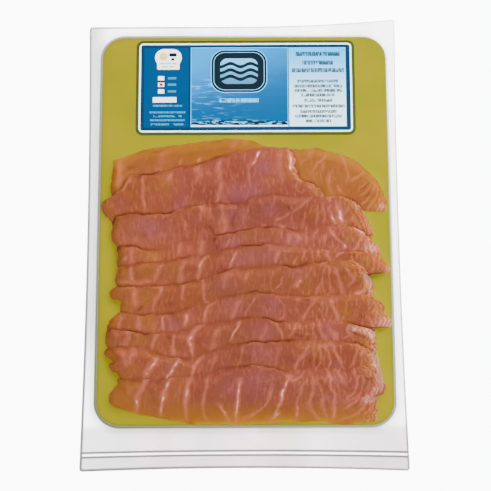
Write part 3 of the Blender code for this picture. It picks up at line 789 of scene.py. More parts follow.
def edge_distance(x, y):
    """Distance in from each side of the grid, as far as it can be read along the grid's own lines:
    from the top edge, the lower edge, the left end and the right end."""
    down = np.hypot(np.diff(x, axis=0, prepend=x[:1]), np.diff(y, axis=0, prepend=y[:1]))
    along = np.hypot(np.diff(x, axis=1, prepend=x[:, :1]), np.diff(y, axis=1, prepend=y[:, :1]))
    from_top, from_left = np.cumsum(down, axis=0), np.cumsum(along, axis=1)
    return from_top, from_top[-1:] - from_top, from_left, from_left[:, -1:] - from_left


def blur(field, radius):
    """The field with each point averaged with its neighbours under a bell curve, in both directions."""
    reach = int(3 * radius / RELIEF_STEP) + 1
    weight = np.exp(-0.5 * (np.arange(-reach, reach + 1) * RELIEF_STEP / radius) ** 2)
    weight /= weight.sum()
    for axis in (0, 1):
        padded = np.pad(field, [(reach, reach) if a == axis else (0, 0) for a in (0, 1)], mode="edge")
        size = field.shape[axis]
        field = sum(np.take(padded, range(i, i + size), axis) * w for i, w in enumerate(weight))
    return field


def read_relief(field, x, y):
    """Height of the relief at (x, y), blended between its four nearest points."""
    column = np.clip((x - RELIEF_LEFT) / RELIEF_STEP, 0, RELIEF_COLUMNS - 1.001)
    row = np.clip((y - RELIEF_BOTTOM) / RELIEF_STEP, 0, RELIEF_ROWS - 1.001)
    i, j = row.astype(int), column.astype(int)
    s, t = row - i, column - j
    low = field[i, j] * (1 - t) + field[i, j + 1] * t
    high = field[i + 1, j] * (1 - t) + field[i + 1, j + 1] * t
    return low * (1 - s) + high * s


def finer(values):
    """The grid with a point added halfway between every two neighbours, twice each way."""
    for _ in range(4):
        halves = np.stack([values[:-1], (values[:-1] + values[1:]) / 2], axis=1)
        values = np.concatenate([halves.reshape(-1, values.shape[1]), values[-1:]]).T
    return values


def stamp(field, x, y, height):
    """The relief raised to a slice's heights, with the slice's grid made finer first so that it
    leaves no point of the relief out."""
    x, y, height = finer(x), finer(y), finer(height)
    row = np.clip(np.rint((y - RELIEF_BOTTOM) / RELIEF_STEP).astype(int), 0, RELIEF_ROWS - 1)
    column = np.clip(np.rint((x - RELIEF_LEFT) / RELIEF_STEP).astype(int), 0, RELIEF_COLUMNS - 1)
    raised = field.copy()
    np.maximum.at(raised, (row, column), height)
    return raised


def distance_to_path(x, y, points):
    """Distance from each grid point to the nearest of the points along a smooth path, and how far
    along the path that nearest point is, from 0 to 1."""
    path = smooth_path(points, 40)
    nearest = np.full(x.shape, np.inf)
    along = np.zeros(x.shape)
    for step, (px, py) in enumerate(path):
        distance = np.hypot(x - px, y - py)
        along = np.where(distance < nearest, step / (len(path) - 1), along)
        nearest = np.minimum(nearest, distance)
    return nearest, along


def strokes(x, y, lines, seed):
    """Strokes along smooth paths, from 0 to 1: a narrow bell curve across each on a wide faint one,
    which fades towards its ends and swells and thins along its length. A second field marks the
    thin dark borders on both sides."""
    wander = 0.9 * unevenness(x, y, 7, seed) + 0.6 * unevenness(x, y, 2.6, seed + 1)
    swell = 1 + 0.45 * unevenness(x, y, 5, seed + 2)
    broken = 0.88 + 0.24 * unevenness(x, y, 2.4, seed + 3)
    drawn, beside = np.zeros(x.shape), np.zeros(x.shape)
    for strength, width, points in lines:
        distance, along = distance_to_path(x + wander, y, points)
        fade = 0.35 + 0.65 * smooth(4 * along + 0.3) * smooth(4 * (1 - along) + 0.3)
        half = 0.8 * width * swell
        core = 0.75 * np.exp(-((distance / half) ** 2)) + 0.25 * np.exp(-((distance / (2.2 * half)) ** 2))
        drawn = np.maximum(drawn, strength * core * fade * broken)
        border = np.exp(-(((distance - 2.1 * half - 0.3) / 0.8) ** 2))
        beside = np.maximum(beside, strength * border * fade)
    return drawn, beside * (1 - drawn)


def block_phase(x, y, from_top, sizes, seed):
    """A number that passes a whole value where one block of flesh gives way to the next. It is read
    off the places where the blocks begin, which lean with depth below the top edge."""
    starts = np.array(sizes["blocks"], float)
    lean = 0.25 + 0.1 * smooth((x + 20) / 60) - 0.5 * smooth((x - 48) / 12) + 0.9 * smooth((x - 68) / 12)
    wander = 1.6 * unevenness(x, y, 16, seed) + 0.7 * unevenness(x, y, 7, seed + 1)
    return np.interp(x + lean * (from_top - 12) + wander, starts, np.arange(len(starts)) * 1.0)


def patches(x, y, spots):
    """Soft round spots, each given as (x, y, radius), a little flatter than they are wide."""
    total = np.zeros(x.shape)
    for middle_x, middle_y, radius in spots:
        total += np.exp(-((np.hypot(x - middle_x, (y - middle_y) * 1.3) / radius) ** 2))
    return np.clip(total, 0, 1)


def salmon_flesh():
    """Moist smoked salmon: brick pink flesh in blocks of slightly different tone between pale lines of
    fat, more orange where the slice is thin over the gold, with a fibrous pale right end, and with
    painted sheen, glints and shade."""
    flesh = Recipe("salmon_flesh")
    where = flesh.place()
    fringe, thin, seed = flesh.value("fringe"), flesh.value("thin"), flesh.value("seed")
    fat, pale, fan = flesh.value("fat"), flesh.value("pale"), flesh.value("fan")

    # The flesh's own tones: each block a little different, with warmer and cooler places.
    drift = flesh.speckle(where, 240, 3) - 0.5
    fine = flesh.speckle(flesh.stretch(where, 1, 0.3), 700, 2)
    cloud = flesh.speckle(where, 48, 3).ramp(0.3, 0.7)
    block = (flesh.value("phase") + drift * 0.15).math("FLOOR")
    tone = flesh.node("ShaderNodeTexWhiteNoise", {"noise_dimensions": "1D"}, {"W": block + seed + 0.5})
    colour = flesh.mix(cloud, FLESH_DEEP, FLESH)
    colour = flesh.mix(tone * 0.6, colour, FLESH_PINK)
    orange = flesh.speckle(where, 75, 2).ramp(0.5, 0.75) * 0.4 + flesh.value("orange") * 0.8
    colour = flesh.mix(orange.math("MINIMUM", 1.0), colour, FLESH_ORANGE)
    colour = flesh.mix(flesh.value("middle") * 0.6, colour, FLESH_MIDDLE)
    # Soft patches of painted sheen, where the film reflects the light.
    colour = flesh.mix(flesh.value("painted_sheen") * 0.6, colour, FLESH_SHEEN)

    # Thin wisps of fat and painted shade in each fine crease between the lines of fat, then the
    # thin golden places.
    wisps = flesh.speckle(flesh.stretch(where, 1, 0.3), 520, 3).ramp(0.48, 0.68)
    colour = flesh.mix(wisps * (0.30 + 0.32 * fan), colour, FAT)
    crease_shade = flesh.speckle(flesh.stretch(where, 1, 0.45), 520, 3).ramp(0.46, 0.30)
    colour = flesh.mix(crease_shade * (0.38 + 0.22 * fan), colour, FLESH_BORDER_AND_SHADE)
    colour = flesh.mix(flesh.value("beside") * 0.4, colour, FLESH_BORDER_AND_SHADE)
    colour = flesh.mix(thin, colour, FLESH_THIN)
    colour = flesh.mix(flesh.value("gold"), colour, FLESH_GOLD)

    # The fringe at the right end, pale in strands that follow it round.
    strands = (flesh.value("strand") + drift * 1.6 + fine * 0.5).math("FRACT")
    strand = 1 - abs(strands - 0.5).ramp(0.1, 0.4)
    colour = flesh.mix(fringe * (0.1 + 0.9 * strand) * 0.6, colour, FAT_ORANGE)
    colour = flesh.mix(fringe * (1 - strand) * 0.7, colour, FRINGE_DARK)

    # The lines of fat with painted glints on the strongest, the pale rims with a painted highlight,
    # painted glints scattered as beads and, over all of it, the painted shadows.
    bright = flesh.mix(thin * thin, flesh.mix(fat.ramp(0.66, 1.0), FAT, FAT_GLINT), FAT_ORANGE)
    colour = flesh.mix(fat, colour, bright)
    colour = flesh.mix(flesh.value("rim") * 0.7, colour, FAT_ORANGE)
    colour = flesh.mix(pale * (0.35 + 0.65 * strand), colour, FAT_PINK)
    glint_beads = flesh.speckle(where, 640, 1).ramp(0.66, 0.74) * (fringe * 0.8 + pale + fat * 0.5)
    colour = flesh.mix(glint_beads.math("MINIMUM", 1.0) * 0.5, colour, FAT_GLINT)
    colour = flesh.mix(flesh.value("shade"), colour, FLESH_SHADOW)

    height = fat * 0.5 + fine * 0.25 + fringe * strand * 0.5
    wet = flesh.principled(
        base_color=colour,
        roughness=0.38 + 0.15 * fine,
        specular_ior_level=0.15,
        subsurface_weight=0.1,
        subsurface_radius=(1.0, 0.35, 0.2),
        subsurface_scale=0.001,
        normal=flesh.bump(height, 0.00008),
    )
    return flesh.surface(wet)


def shadow_strength(sizes, x):
    """How dark a slice's shadow on the one above it is, read along its top edge."""
    return np.interp(x, *np.array(sizes["shadow"]).T)


def slice_thickness(sizes, x, y, fat, seed):
    """Thickness at each point: a lip at the top edge that rises to the body with the distance from
    every side, plus the raised fat and small hills."""
    from_top, from_bottom, from_left, from_right = edge_distance(x, y)
    own = shadow_strength(sizes, x)
    top_rise = np.interp(own, SLICE_STAND_OFF, SLICE_TOP_RISE)
    lip = np.interp(own, SLICE_STAND_OFF, SLICE_LIP)
    rise = smooth(from_top / top_rise) * smooth(from_bottom / SLICE_FOOT_RISE)
    rise = rise * smooth(from_left / SLICE_LEFT_RISE) * smooth(from_right / SLICE_RIGHT_RISE)
    body = SLICE_THICKNESS * (1 + 0.16 * unevenness(x, y, 24, seed))
    hills = 0.10 * fat + 0.06 * unevenness(x, y, 6, seed + 2)
    return lip + (body - lip) * rise + hills


def seam_shadow(x, y, covered, darkened, seed):
    """How dark a slice is along the edges of those on top of it: a narrow line, a wider one and a
    soft reach, each a blur of what they cover, as strong as their own shadow is there."""
    line = 0.45 * smooth(read_relief(blur(covered, 0.75), x, y) * 2.6)
    line += 0.42 * smooth(read_relief(blur(covered, 1.5), x, y) * 2.2)
    reach = smooth(read_relief(blur(covered, 2.6), x, y) * 1.6)
    near = np.maximum(read_relief(blur(covered, 1.0), x, y), 0.05)
    strength = read_relief(blur(darkened, 1.0), x, y) / near
    strength = np.clip(strength * (1 + 0.8 * unevenness(x, y, 8, seed)), 0, 1)
    return line * strength + 0.25 * reach * (0.3 + 0.7 * strength)


def slice_values(order, sizes, seed, x, y, fat, beside, shadow):
    """What the finish reads at each point of a slice, from 0 to 1 but for its counts of blocks and
    strands. Rims, fringes and thin ends fall off with the distance from their edge, unevenness
    breaks them up, and the patches and folds are the slice's own."""
    from_top, from_bottom, from_left, from_right = edge_distance(x, y)
    own = smooth(shadow_strength(sizes, x) / 0.35)
    # Painted shade: the shadows of the slices on top, the dark folds from the sizes, and a darker left
    # end.
    fold, _ = strokes(x, y, sizes["folds"], seed + 11)
    shade = np.clip(np.maximum(shadow, fold) + 0.15 * np.exp(-from_left), 0, 1)
    middle = np.exp(-(((x - 4) / 34) ** 2)) * smooth((40 - y) / 30)
    # The rim is the pale cut edge at the top and the right end, with a painted highlight where it catches
    # the light.
    rim_break = smooth(0.55 + 0.9 * unevenness(x, y, 7, seed + 13)) * own
    rim = 0.5 * np.exp(-from_top / 0.8) * rim_break + 0.4 * np.exp(-from_right / 0.9)
    # A band of painted shade just under the top edge, where the slice stands off and in the middle.
    top_edge_shade = np.exp(-((from_top / 2.6) ** 2)) * np.maximum(0.45 * own, 0.5 * middle)
    tip = 0.6 * smooth(1 - from_right / 3) * smooth(0.2 + 0.9 * unevenness(x, y, 5, seed + 14))
    thin = sizes["thin"] * (0.75 + 0.25 * unevenness(x, y, 20, seed + 16))
    thin = thin + 0.45 * smooth(1 - from_left / 10) + 0.35 * smooth(1 - from_right / 20)
    orange = 0.5 * smooth((-30 - x) / 45) * smooth(0.6 + 0.7 * unevenness(x, y, 15, seed + 17))
    gold = 0.0 * x
    # The card shines through the free edges of the first slice and of the last one, which is thin
    # only at its left end and along its lower edge.
    if order == 0:
        gold = np.exp(-np.minimum(from_top, from_right) / 2.6) * 0.7
    if order == len(SLICES) - 1:
        lower_end = smooth((-126 - y) / 16)
        thin = np.maximum(thin * 0.35, 0.6 * smooth(1.2 - from_left / 24)) + 0.75 * lower_end
        tip = np.maximum(tip, 0.055 * smooth((x - 25) / 20) * smooth((-108 - y) / 15))
        gold = np.exp(-from_bottom / 2.2) * smooth(0.6 + 0.7 * unevenness(x, y, 8, seed + 18))
    pale = np.maximum(tip, patches(x, y, sizes["pale"]))
    return {
        "phase": block_phase(x, y, from_top, sizes, seed + 9),
        "strand": from_right / (2.7 + 0.05 * from_right) + 0.6 * unevenness(x, y, 12, seed + 18),
        "seed": np.full_like(x, 7.31 * order),
        "fat": fat,
        "beside": beside,
        "shade": np.clip(shade + top_edge_shade * (1 - 0.6 * rim_break), 0, 1),
        "rim": rim,
        "middle": middle,
        "fan": smooth((x - FAN_START) / 20) * (0.6 + 0.4 * unevenness(x, y, 10, seed + 19)),
        "fringe": smooth(1 - from_right / FRINGE_WIDTH) * smooth((x - FRINGE_START) / 14),
        "thin": np.clip(thin, 0, 1),
        "gold": gold,
        "painted_sheen": patches(x, y, sizes["painted_sheen"]),
        "orange": np.maximum(orange, patches(x, y, sizes["orange"])),
        # Painted glints where the fat meets the rim.
        "pale": np.maximum(pale, np.clip(3 * rim * fat, 0, 1)),
    }


# The slices are laid from the first up, each on a relief of all that lies below it. The steps in
# the relief are eased first, because a slice bridges them.
relief = np.full((RELIEF_ROWS, RELIEF_COLUMNS), CARD_TOP)
layers = []
for order, sizes in enumerate(SLICES):
    seed = 100 + 20 * order
    x, y = slice_grid(sizes, seed)
    fat, beside = strokes(x, y, sizes["fat"], seed + 8)
    # The lines of fat are a little fainter low down on the right.
    fat = fat * (1 - 0.2 * smooth((x - FAN_START) / 20) * smooth((-40 - y) / 30))
    support = relief
    for _ in range(3):
        support = np.maximum(support, blur(support, 1.6))
    bottom = read_relief(support, x, y) + SLICE_GAP
    top = bottom + slice_thickness(sizes, x, y, fat, seed + 10)
    layers.append((order, sizes, seed, x, y, bottom, top, fat, beside))
    relief = stamp(relief, x, y, top)

# They are finished from the last one down, each shaded by those that are on top of it.
slice_finish = salmon_flesh()
slice_faces = shell_faces(SLICE_ROWS, SLICE_COLUMNS)[:, ::-1]
covered = np.zeros_like(relief)
darkened = np.zeros_like(relief)
for order, sizes, seed, x, y, bottom, top, fat, beside in reversed(layers):
    sides = np.stack([np.stack([x, y, height], axis=-1) for height in (top, bottom)])
    piece = add_piece(f"salmon_slice_{order + 1:02d}", sides, slice_faces)
    shadow = seam_shadow(x, y, covered, darkened, seed + 15)
    values = slice_values(order, sizes, seed, x, y, fat, beside, shadow)
    set_values(piece, **{key: np.stack([value, value]) for key, value in values.items()})
    piece.data.materials.append(slice_finish)
    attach(piece, "root")
    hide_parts("pouch")
    laid = stamp(np.zeros_like(relief), x, y, np.ones_like(x))
    covered = np.maximum(covered, laid)
    darkened = stamp(darkened * (1 - laid), x, y, shadow_strength(sizes, x))


# ---------------------------------------------------------------------------------------------
# The pouch: two sheets of clear film welded together across the lower end. The air is drawn out,
# so the front film lies tight on the slices and the card, bridges their steps, and comes down to
# the back film in a wrinkled margin all round.

FILM_WAIST = 2.0
FILM_TAPER_LEFT = 0.3
FILM_TAPER_RIGHT = 1.8
FILM_TOP_SKEW = 5.5
FILM_END_HOLLOW = 2.3
FILM_CORNER = 2.5
FILM_CLEARANCE = 0.14
FILM_BACK = 0.06
FILM_PAIR = 0.16  # height of the front film where it lies on the back film
FILM_TENT = 5.0  # width of the slope from the card's edge down to the back film
FILM_RIPPLE = 1.2
WELD_LINES = (0.581, 0.683)  # places of the pressed lines, as shares of the lower margin
WELD_WIDTH = 0.022
WELD_DEPTH = 0.08
MARGIN_COLUMNS = 13
CARD_COLUMNS = 138
MARGIN_ROWS = 13
WELD_ROWS = 30
PILE_ROWS = 150
LABEL_ROWS = 34
FILM_CLEAR = (0.50, 0.49, 0.50)
FILM_FLESH_REFLECTION = (0.62, 0.40, 0.44)
FILM_LINE = (0.15, 0.145, 0.15)
FILM_SHADE = (0.09, 0.085, 0.03)

half_width = (pouch_high.x - pouch_low.x) / 2 / MM
half_length = (pouch_high.y - pouch_low.y) / 2 / MM
label_low, label_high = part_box("label")
label_foot = label_low.y / MM - CARD_Y


def rounded_distance(x, y, width, length, corner):
    """Distance outside a rounded rectangle about the origin, negative inside it."""
    qx = np.abs(x) - width / 2 + corner
    qy = np.abs(y) - length / 2 + corner
    outside = np.hypot(np.maximum(qx, 0), np.maximum(qy, 0))
    return outside + np.minimum(np.maximum(qx, qy), 0) - corner


def film_rows():
    """Row positions as (share of the margin, height on the card): the welded end, the pile, the
    label's part of the card and the top margin."""
    foot, head = -CARD_LENGTH / 2, CARD_LENGTH / 2
    welded = [(-share, foot) for share in np.linspace(1, 0, WELD_ROWS)]
    pile = [(0.0, y) for y in np.linspace(foot, label_foot, PILE_ROWS)[1:]]
    upper = [(0.0, y) for y in np.linspace(label_foot, head, LABEL_ROWS)[1:-1]]
    margin = [(share, head) for share in np.linspace(0, 1, MARGIN_ROWS)]
    return np.array(welded + pile + upper + margin)


def film_columns():
    """Column positions as (share of the margin, place on the card): both margins and the card."""
    edge = CARD_WIDTH / 2
    left = [(-share, -edge) for share in np.linspace(1, 0, MARGIN_COLUMNS)]
    middle = [(0.0, x) for x in np.linspace(-edge, edge, CARD_COLUMNS)[1:-1]]
    return np.array(left + middle + [(-share, -x) for share, x in left[::-1]])


def film_grid():
    """Where each point of the film lies, seen from the front, and its shares of the margins. Over
    the card the grid is square. In the margins it stretches to the pouch's waisted outline."""
    rows, columns = film_rows(), film_columns()
    share_x, share_y = np.meshgrid(columns[:, 0], rows[:, 0])
    card_x, card_y = np.meshgrid(columns[:, 1], rows[:, 1])
    x, y = card_x, card_y
    for _ in range(4):
        t = (y + CARD_Y) / half_length
        taper = np.where(share_x < 0, FILM_TAPER_LEFT, FILM_TAPER_RIGHT)
        side = half_width - FILM_WAIST * (1 - t * t) - taper * (1 + t) / 2
        edge_x = np.sign(share_x) * side - CARD_X
        from_middle = (x + CARD_X) / half_width
        upper = half_length - FILM_TOP_SKEW * (1 - np.maximum(from_middle, 0) ** 2)
        lower = -half_length + FILM_END_HOLLOW * (1 - from_middle**2)
        edge_y = np.where(share_y < 0, lower, upper) - CARD_Y
        x = card_x + (edge_x - card_x) * np.abs(share_x)
        y = card_y + (edge_y - card_y) * np.abs(share_y)
    u = np.clip(1 - (np.abs(edge_x) - np.abs(x)) / FILM_CORNER, 0, 1) * (share_x != 0)
    v = np.clip(1 - (np.abs(edge_y) - np.abs(y)) / FILM_CORNER, 0, 1) * (share_y != 0)
    x = x - np.sign(share_x) * FILM_CORNER * u * (1 - np.sqrt(1 - v * v / 2))
    y = y - np.sign(share_y) * FILM_CORNER * v * (1 - np.sqrt(1 - u * u / 2))
    return x, y, share_x, share_y


film_x, film_y, film_share_x, film_share_y = film_grid()
off_card = rounded_distance(film_x, film_y, CARD_WIDTH, CARD_LENGTH, CARD_CORNER)
to_rim = np.minimum(
    np.minimum(film_x - film_x[:, :1], film_x[:, -1:] - film_x),
    np.minimum(film_y - film_y[:1], film_y[-1:] - film_y),
)

# The film is drawn over the slices' relief, whose steps it bridges.
drawn = relief
for _ in range(4):
    drawn = np.maximum(drawn, blur(drawn, 1.3))
drawn = blur(drawn, 0.7)
over_card = read_relief(drawn, film_x, film_y) + FILM_CLEARANCE
tent = smooth(1 - off_card / FILM_TENT)
ripple = 0.5 * unevenness(film_x, film_y, 17, 501)
ripple = ripple + 0.3 * unevenness(film_x + film_y, film_y - film_x, 9, 502)
ripple = ripple * smooth(off_card / 6) * smooth(to_rim / 5) * FILM_RIPPLE
weld_share = np.maximum(-film_share_y, 0)
pressed = sum(np.exp(-(((weld_share - line) / WELD_WIDTH) ** 2)) for line in WELD_LINES)
beyond_weld = smooth((weld_share - WELD_LINES[0] + 0.05) / 0.05)
film_front = FILM_PAIR + np.maximum(ripple + 0.25, 0) * (1 - beyond_weld * 0.8)
film_front = film_front * (1 - tent) + over_card * tent - WELD_DEPTH * pressed
film_back = np.full_like(film_front, FILM_BACK)
film_sides = np.stack([np.stack([film_x, film_y, height], axis=-1) for height in (film_front, film_back)])
film = add_piece("pouch_film", film_sides, shell_faces(*film_x.shape))

# The margins are milky, more so at the foot and most of all at the left, where the extra milk is
# painted shade beside the card. The foot has a faint pink tint, a painted reflection of the salmon.
foot_share = smooth((-film_y - CARD_LENGTH / 2 + 4) / 8)
bands = 0.5 + 0.5 * unevenness(film_x, film_y * 0.15, 26, 503)
left_shade_share = smooth((-film_x - CARD_WIDTH / 2 + 8) / 16) * smooth((film_y + 130) / 70)
veil = 0.43 + 0.25 * foot_share + 0.08 * beyond_weld + 0.32 * left_shade_share + 0.10 * (bands - 0.5)
warm = foot_share * smooth((film_x + 92) / 50) * (0.55 + 0.4 * unevenness(film_x, film_y * 0.2, 34, 505))
set_values(
    film,
    veil=np.tile(veil, (2, 1)),
    warm=np.tile(warm, (2, 1)),
    weld=np.tile(weld_share, (2, 1)),
    rim=np.tile(to_rim, (2, 1)),
    # how much stronger the painted shade is towards the left and the foot
    side=np.tile(0.6 + 0.4 * np.clip(-film_x / CARD_WIDTH - film_y / CARD_LENGTH, -1, 1), (2, 1)),
    back=np.repeat([0.0, 1.0], film_x.size),
)


def clear_film():
    """Clear glossy film: all but invisible where it lies on the food, milkier where two sheets of it
    lie together beyond the card's edge. Painted shadow runs along the card's edge and softly beside
    it, strongest at the left and the foot. Grey lines mark the cut edges, deepened there by painted
    shade, and the weld, whose pressed grooves are darkened as painted shade."""
    sheet = Recipe("clear_film")
    where = sheet.place()
    weld, side, back = sheet.value("weld"), sheet.value("side"), sheet.value("back")
    # The cut edges are grey lines, deepened by painted shade towards the left and the foot; the weld's
    # pressed grooves are darkened as painted shade.
    line = (1 - (sheet.value("rim") / (0.6 + 0.9 * side)).ramp(0.7, 1.5)) * (0.2 + 0.8 * side)
    for place in WELD_LINES:
        line = line + (1 - abs(weld - place).ramp(0.5 * WELD_WIDTH, 1.5 * WELD_WIDTH))
    between = 1 - abs(weld - sum(WELD_LINES) / 2).ramp(0.02, 0.04)
    split = {"Vector": where}
    qx = abs(sheet.node("ShaderNodeSeparateXYZ", None, split, "X") * 1000 - CARD_X)
    qy = abs(sheet.node("ShaderNodeSeparateXYZ", None, split, "Y") * 1000 - CARD_Y)
    qx = (qx - (CARD_WIDTH / 2 - CARD_CORNER)).math("MAXIMUM", 0.0)
    qy = (qy - (CARD_LENGTH / 2 - CARD_CORNER)).math("MAXIMUM", 0.0)
    off = (qx * qx + qy * qy).math("SQRT") - CARD_CORNER
    margin = off.ramp(-0.4, 0.1)
    # Painted shadow: a dark line along the card's edge and a soft shade beside it.
    close = off.ramp(-0.9, -0.1) * (1 - off.ramp(0.5, 1.6)) * side
    beside = margin * (1 - off.ramp(0.5, 8.0)) * side
    streak = sheet.speckle(sheet.stretch(where, 1, 0.25), 90, 3) - 0.5
    veil = (sheet.value("veil") + 0.12 * streak) * (1 - between * 0.4)
    haze = margin * (veil + line * 0.6) + close + beside * 0.15
    haze = ((0.001 + haze) * (1 - back * 0.3)).math("MINIMUM", 1.0)
    dark = (line + beside * 0.4).math("MINIMUM", 1.0)
    tint = sheet.mix(dark, sheet.mix(sheet.value("warm"), FILM_CLEAR, FILM_FLESH_REFLECTION), FILM_LINE)
    tint = sheet.mix(close.math("MINIMUM", 1.0), tint, FILM_SHADE)
    milk = sheet.principled(base_color=tint, roughness=0.3)
    clear = sheet.node("ShaderNodeBsdfTransparent")
    body = sheet.node("ShaderNodeMixShader", None, {0: haze, 1: clear, 2: milk})
    wrinkle = sheet.bump(sheet.speckle(where, 500, 2), 0.00006)
    gloss_sockets = {"Color": (1.0, 1.0, 1.0), "Roughness": 0.09, "Normal": wrinkle}
    gloss = sheet.node("ShaderNodeBsdfGlossy", None, gloss_sockets)
    mirror = sheet.node("ShaderNodeFresnel", None, {"IOR": 1.45}) * (1 - back * 0.9)
    return sheet.surface(sheet.node("ShaderNodeMixShader", None, {0: mirror, 1: body, 2: gloss}))


film.data.materials.append(clear_film())
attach(film, "root")
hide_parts("pouch")


# ---------------------------------------------------------------------------------------------
# The label: a coated paper sticker with round corners, stuck on the film over the bare end of the
# card. It is printed in blues inside a white border: a dark field with tick boxes, a picture of
# open water with a plaque, and a pale field, with rows of plain strokes for its small print. Round
# the white border runs a dark ring of painted shadow.

LABEL_WIDTH = (label_high.x - label_low.x) / MM
LABEL_HEIGHT = (label_high.y - label_low.y) / MM
LABEL_X = (label_high.x + label_low.x) / 2 / MM - CARD_X
LABEL_Y = (label_high.y + label_low.y) / 2 / MM - CARD_Y
LABEL_CORNER = 5
# The label's outermost ring is painted dark as the shadow round its edge.
LABEL_SHADOW_RIM = 2.1
LABEL_LIFT = 0.06
LABEL_PAPER = 0.14
LABEL_EDGE_DROP = 0.08
LABEL_BORDER = 1.35
LABEL_FRAME = 2.4

# Places on the label are millimetres from its middle. A box is (left, right, low, high), with the
# radius of its corners after that where they are round, and a row of print is (height, length).
LEFT_FIELD_END = -42.2
BADGE = ((-67.6, -47.7, 16.8, 30.6, 6.8), (-66, -49.3, 14.2, 20, 1))
BADGE_DISC = (-64.4, -58.4, 21.6, 27.6, 2.9)
BADGE_BARS = ((-57.2, -51.4, 24.6, 27.4, 1.2), (-55.6, -53.2, 21.4, 23.4, 0.9))
BADGE_ROWS = ((19, 12), (16.4, 9))
TICK_FEET = (5.7, 0.6, -4.7)
TICK_MARK = (-64, -61.8, 1.3, 3.2)
LONG_BOX = (-69, -51.4, -11.8, -7.6)
LEFT_ROWS = ((-14.4, 22), (-19.6, 27), (-22.6, 21), (-25.7, 26), (-29.0, 25))
WATER_FIELD = (-40.4, 31.2, -30.7, 31.3)
PLAQUE = (-25.3, 15.6, -3.7, 29.4)
PLAQUE_WAVES = (7.6, 12.6, 17.6)
PLAQUE_ROWS = ((-10.3, 29.5),)
RIGHT_FIELD = (32.6, 74.6, -30.7, 31.3)
RIGHT_HEADINGS = ((26.4, 33.5), (19.4, 23), (13.4, 39))
RIGHT_ROWS = ((4.7, 31), (0.8, 36), (-2.7, 36), (-6.3, 25), (-10.5, 21),
              (-15, 39), (-19.3, 27), (-22.9, 35), (-26.7, 19))
PRINT_WHITE = (0.94, 0.97, 0.95)
LABEL_SHADOW_DARK = (0.035, 0.055, 0.012)
FRAME_BLUE = (0.003, 0.024, 0.064)
PANEL_BLUE = (0.0, 0.041, 0.122)
PRINT_NAVY = (0.005, 0.010, 0.016)
PRINT_RED = (0.14, 0.02, 0.03)
PRINT_YELLOW = (0.72, 0.58, 0.20)
PRINT_MIST = (0.05, 0.20, 0.36)
SKY_LIGHT = (0.0, 0.235, 0.62)
SKY_DEEP = (0.0, 0.083, 0.24)
WATER_DEEP = (0.0, 0.064, 0.18)
SURF = (0.10, 0.45, 0.78)
PALE_TOP = (0.03, 0.42, 0.90)
PALE_FOOT = (0.60, 0.90, 1.0)


def grown(box, by):
    """A box with each of its sides moved outward."""
    left, right, low, high = box
    return left - by, right + by, low - by, high + by


class PrintedPaper(Recipe):
    """A material painted field by field, with every place in millimetres from the label's middle."""

    def __init__(self, name, ground):
        super().__init__(name)
        self.where = self.place()
        split = {"Vector": self.where}
        self.x = self.node("ShaderNodeSeparateXYZ", None, split, "X") * 1000 - (LABEL_X + CARD_X)
        self.y = self.node("ShaderNodeSeparateXYZ", None, split, "Y") * 1000 - (LABEL_Y + CARD_Y)
        self.colour = ground

    def box(self, left, right, low, high, corner=0.0):
        """1 inside a rectangle with round corners, 0 outside."""
        beyond_x = abs(self.x - (left + right) / 2) - ((right - left) / 2 - corner)
        beyond_y = abs(self.y - (low + high) / 2) - ((high - low) / 2 - corner)
        if corner == 0:
            return beyond_x.math("MAXIMUM", beyond_y).math("LESS_THAN", 0.0)
        beyond_x, beyond_y = beyond_x.math("MAXIMUM", 0.0), beyond_y.math("MAXIMUM", 0.0)
        return (beyond_x * beyond_x + beyond_y * beyond_y).math("LESS_THAN", corner * corner)

    def mottle(self, width, height, detail=2.0, seed=0.0):
        """Cloudy noise from 0 to 1, its clouds about width by height millimetres."""
        sockets = {"X": self.x / width, "Y": self.y / height, "Z": seed}
        return self.speckle(self.node("ShaderNodeCombineXYZ", None, sockets), 1.0, detail)

    def print_rows(self, middle, rows, height, letter, seed):
        """Rows of small print, each given as (height above the middle, length): a bar broken into
        upright strokes about a letter apart by one noise, and into words by a second."""
        strokes = self.mottle(letter, height * 2, 1.0, seed).ramp(0.36, 0.56)
        words = self.mottle(letter * 6, 4.0, 0.0, seed + 5).ramp(0.26, 0.32)
        total = 0.0
        for row, length in rows:
            inside = abs(self.y - row).math("LESS_THAN", height / 2)
            total = inside * abs(self.x - middle).math("LESS_THAN", length / 2) + total
        return total * words * (0.3 + 0.7 * strokes)

    def paint(self, mask, colour):
        """Prints a colour, or another painted colour, where the mask is 1."""
        self.colour = self.mix(mask, self.colour, colour)


def paint_fields(paper):
    """The label inside its ring of painted shadow: white border, dark frame and the flat left field."""
    half_w, half_h = LABEL_WIDTH / 2 - LABEL_SHADOW_RIM, LABEL_HEIGHT / 2 - LABEL_SHADOW_RIM
    whole = (-half_w, half_w, -half_h, half_h)
    paper.paint(paper.box(*whole, 3.4), PRINT_WHITE)
    paper.paint(paper.box(*grown(whole, -LABEL_BORDER), 1.8), FRAME_BLUE)
    left, _, low, high = grown(whole, -LABEL_BORDER - LABEL_FRAME)
    paper.paint(paper.box(left, LEFT_FIELD_END, low, high), PANEL_BLUE)


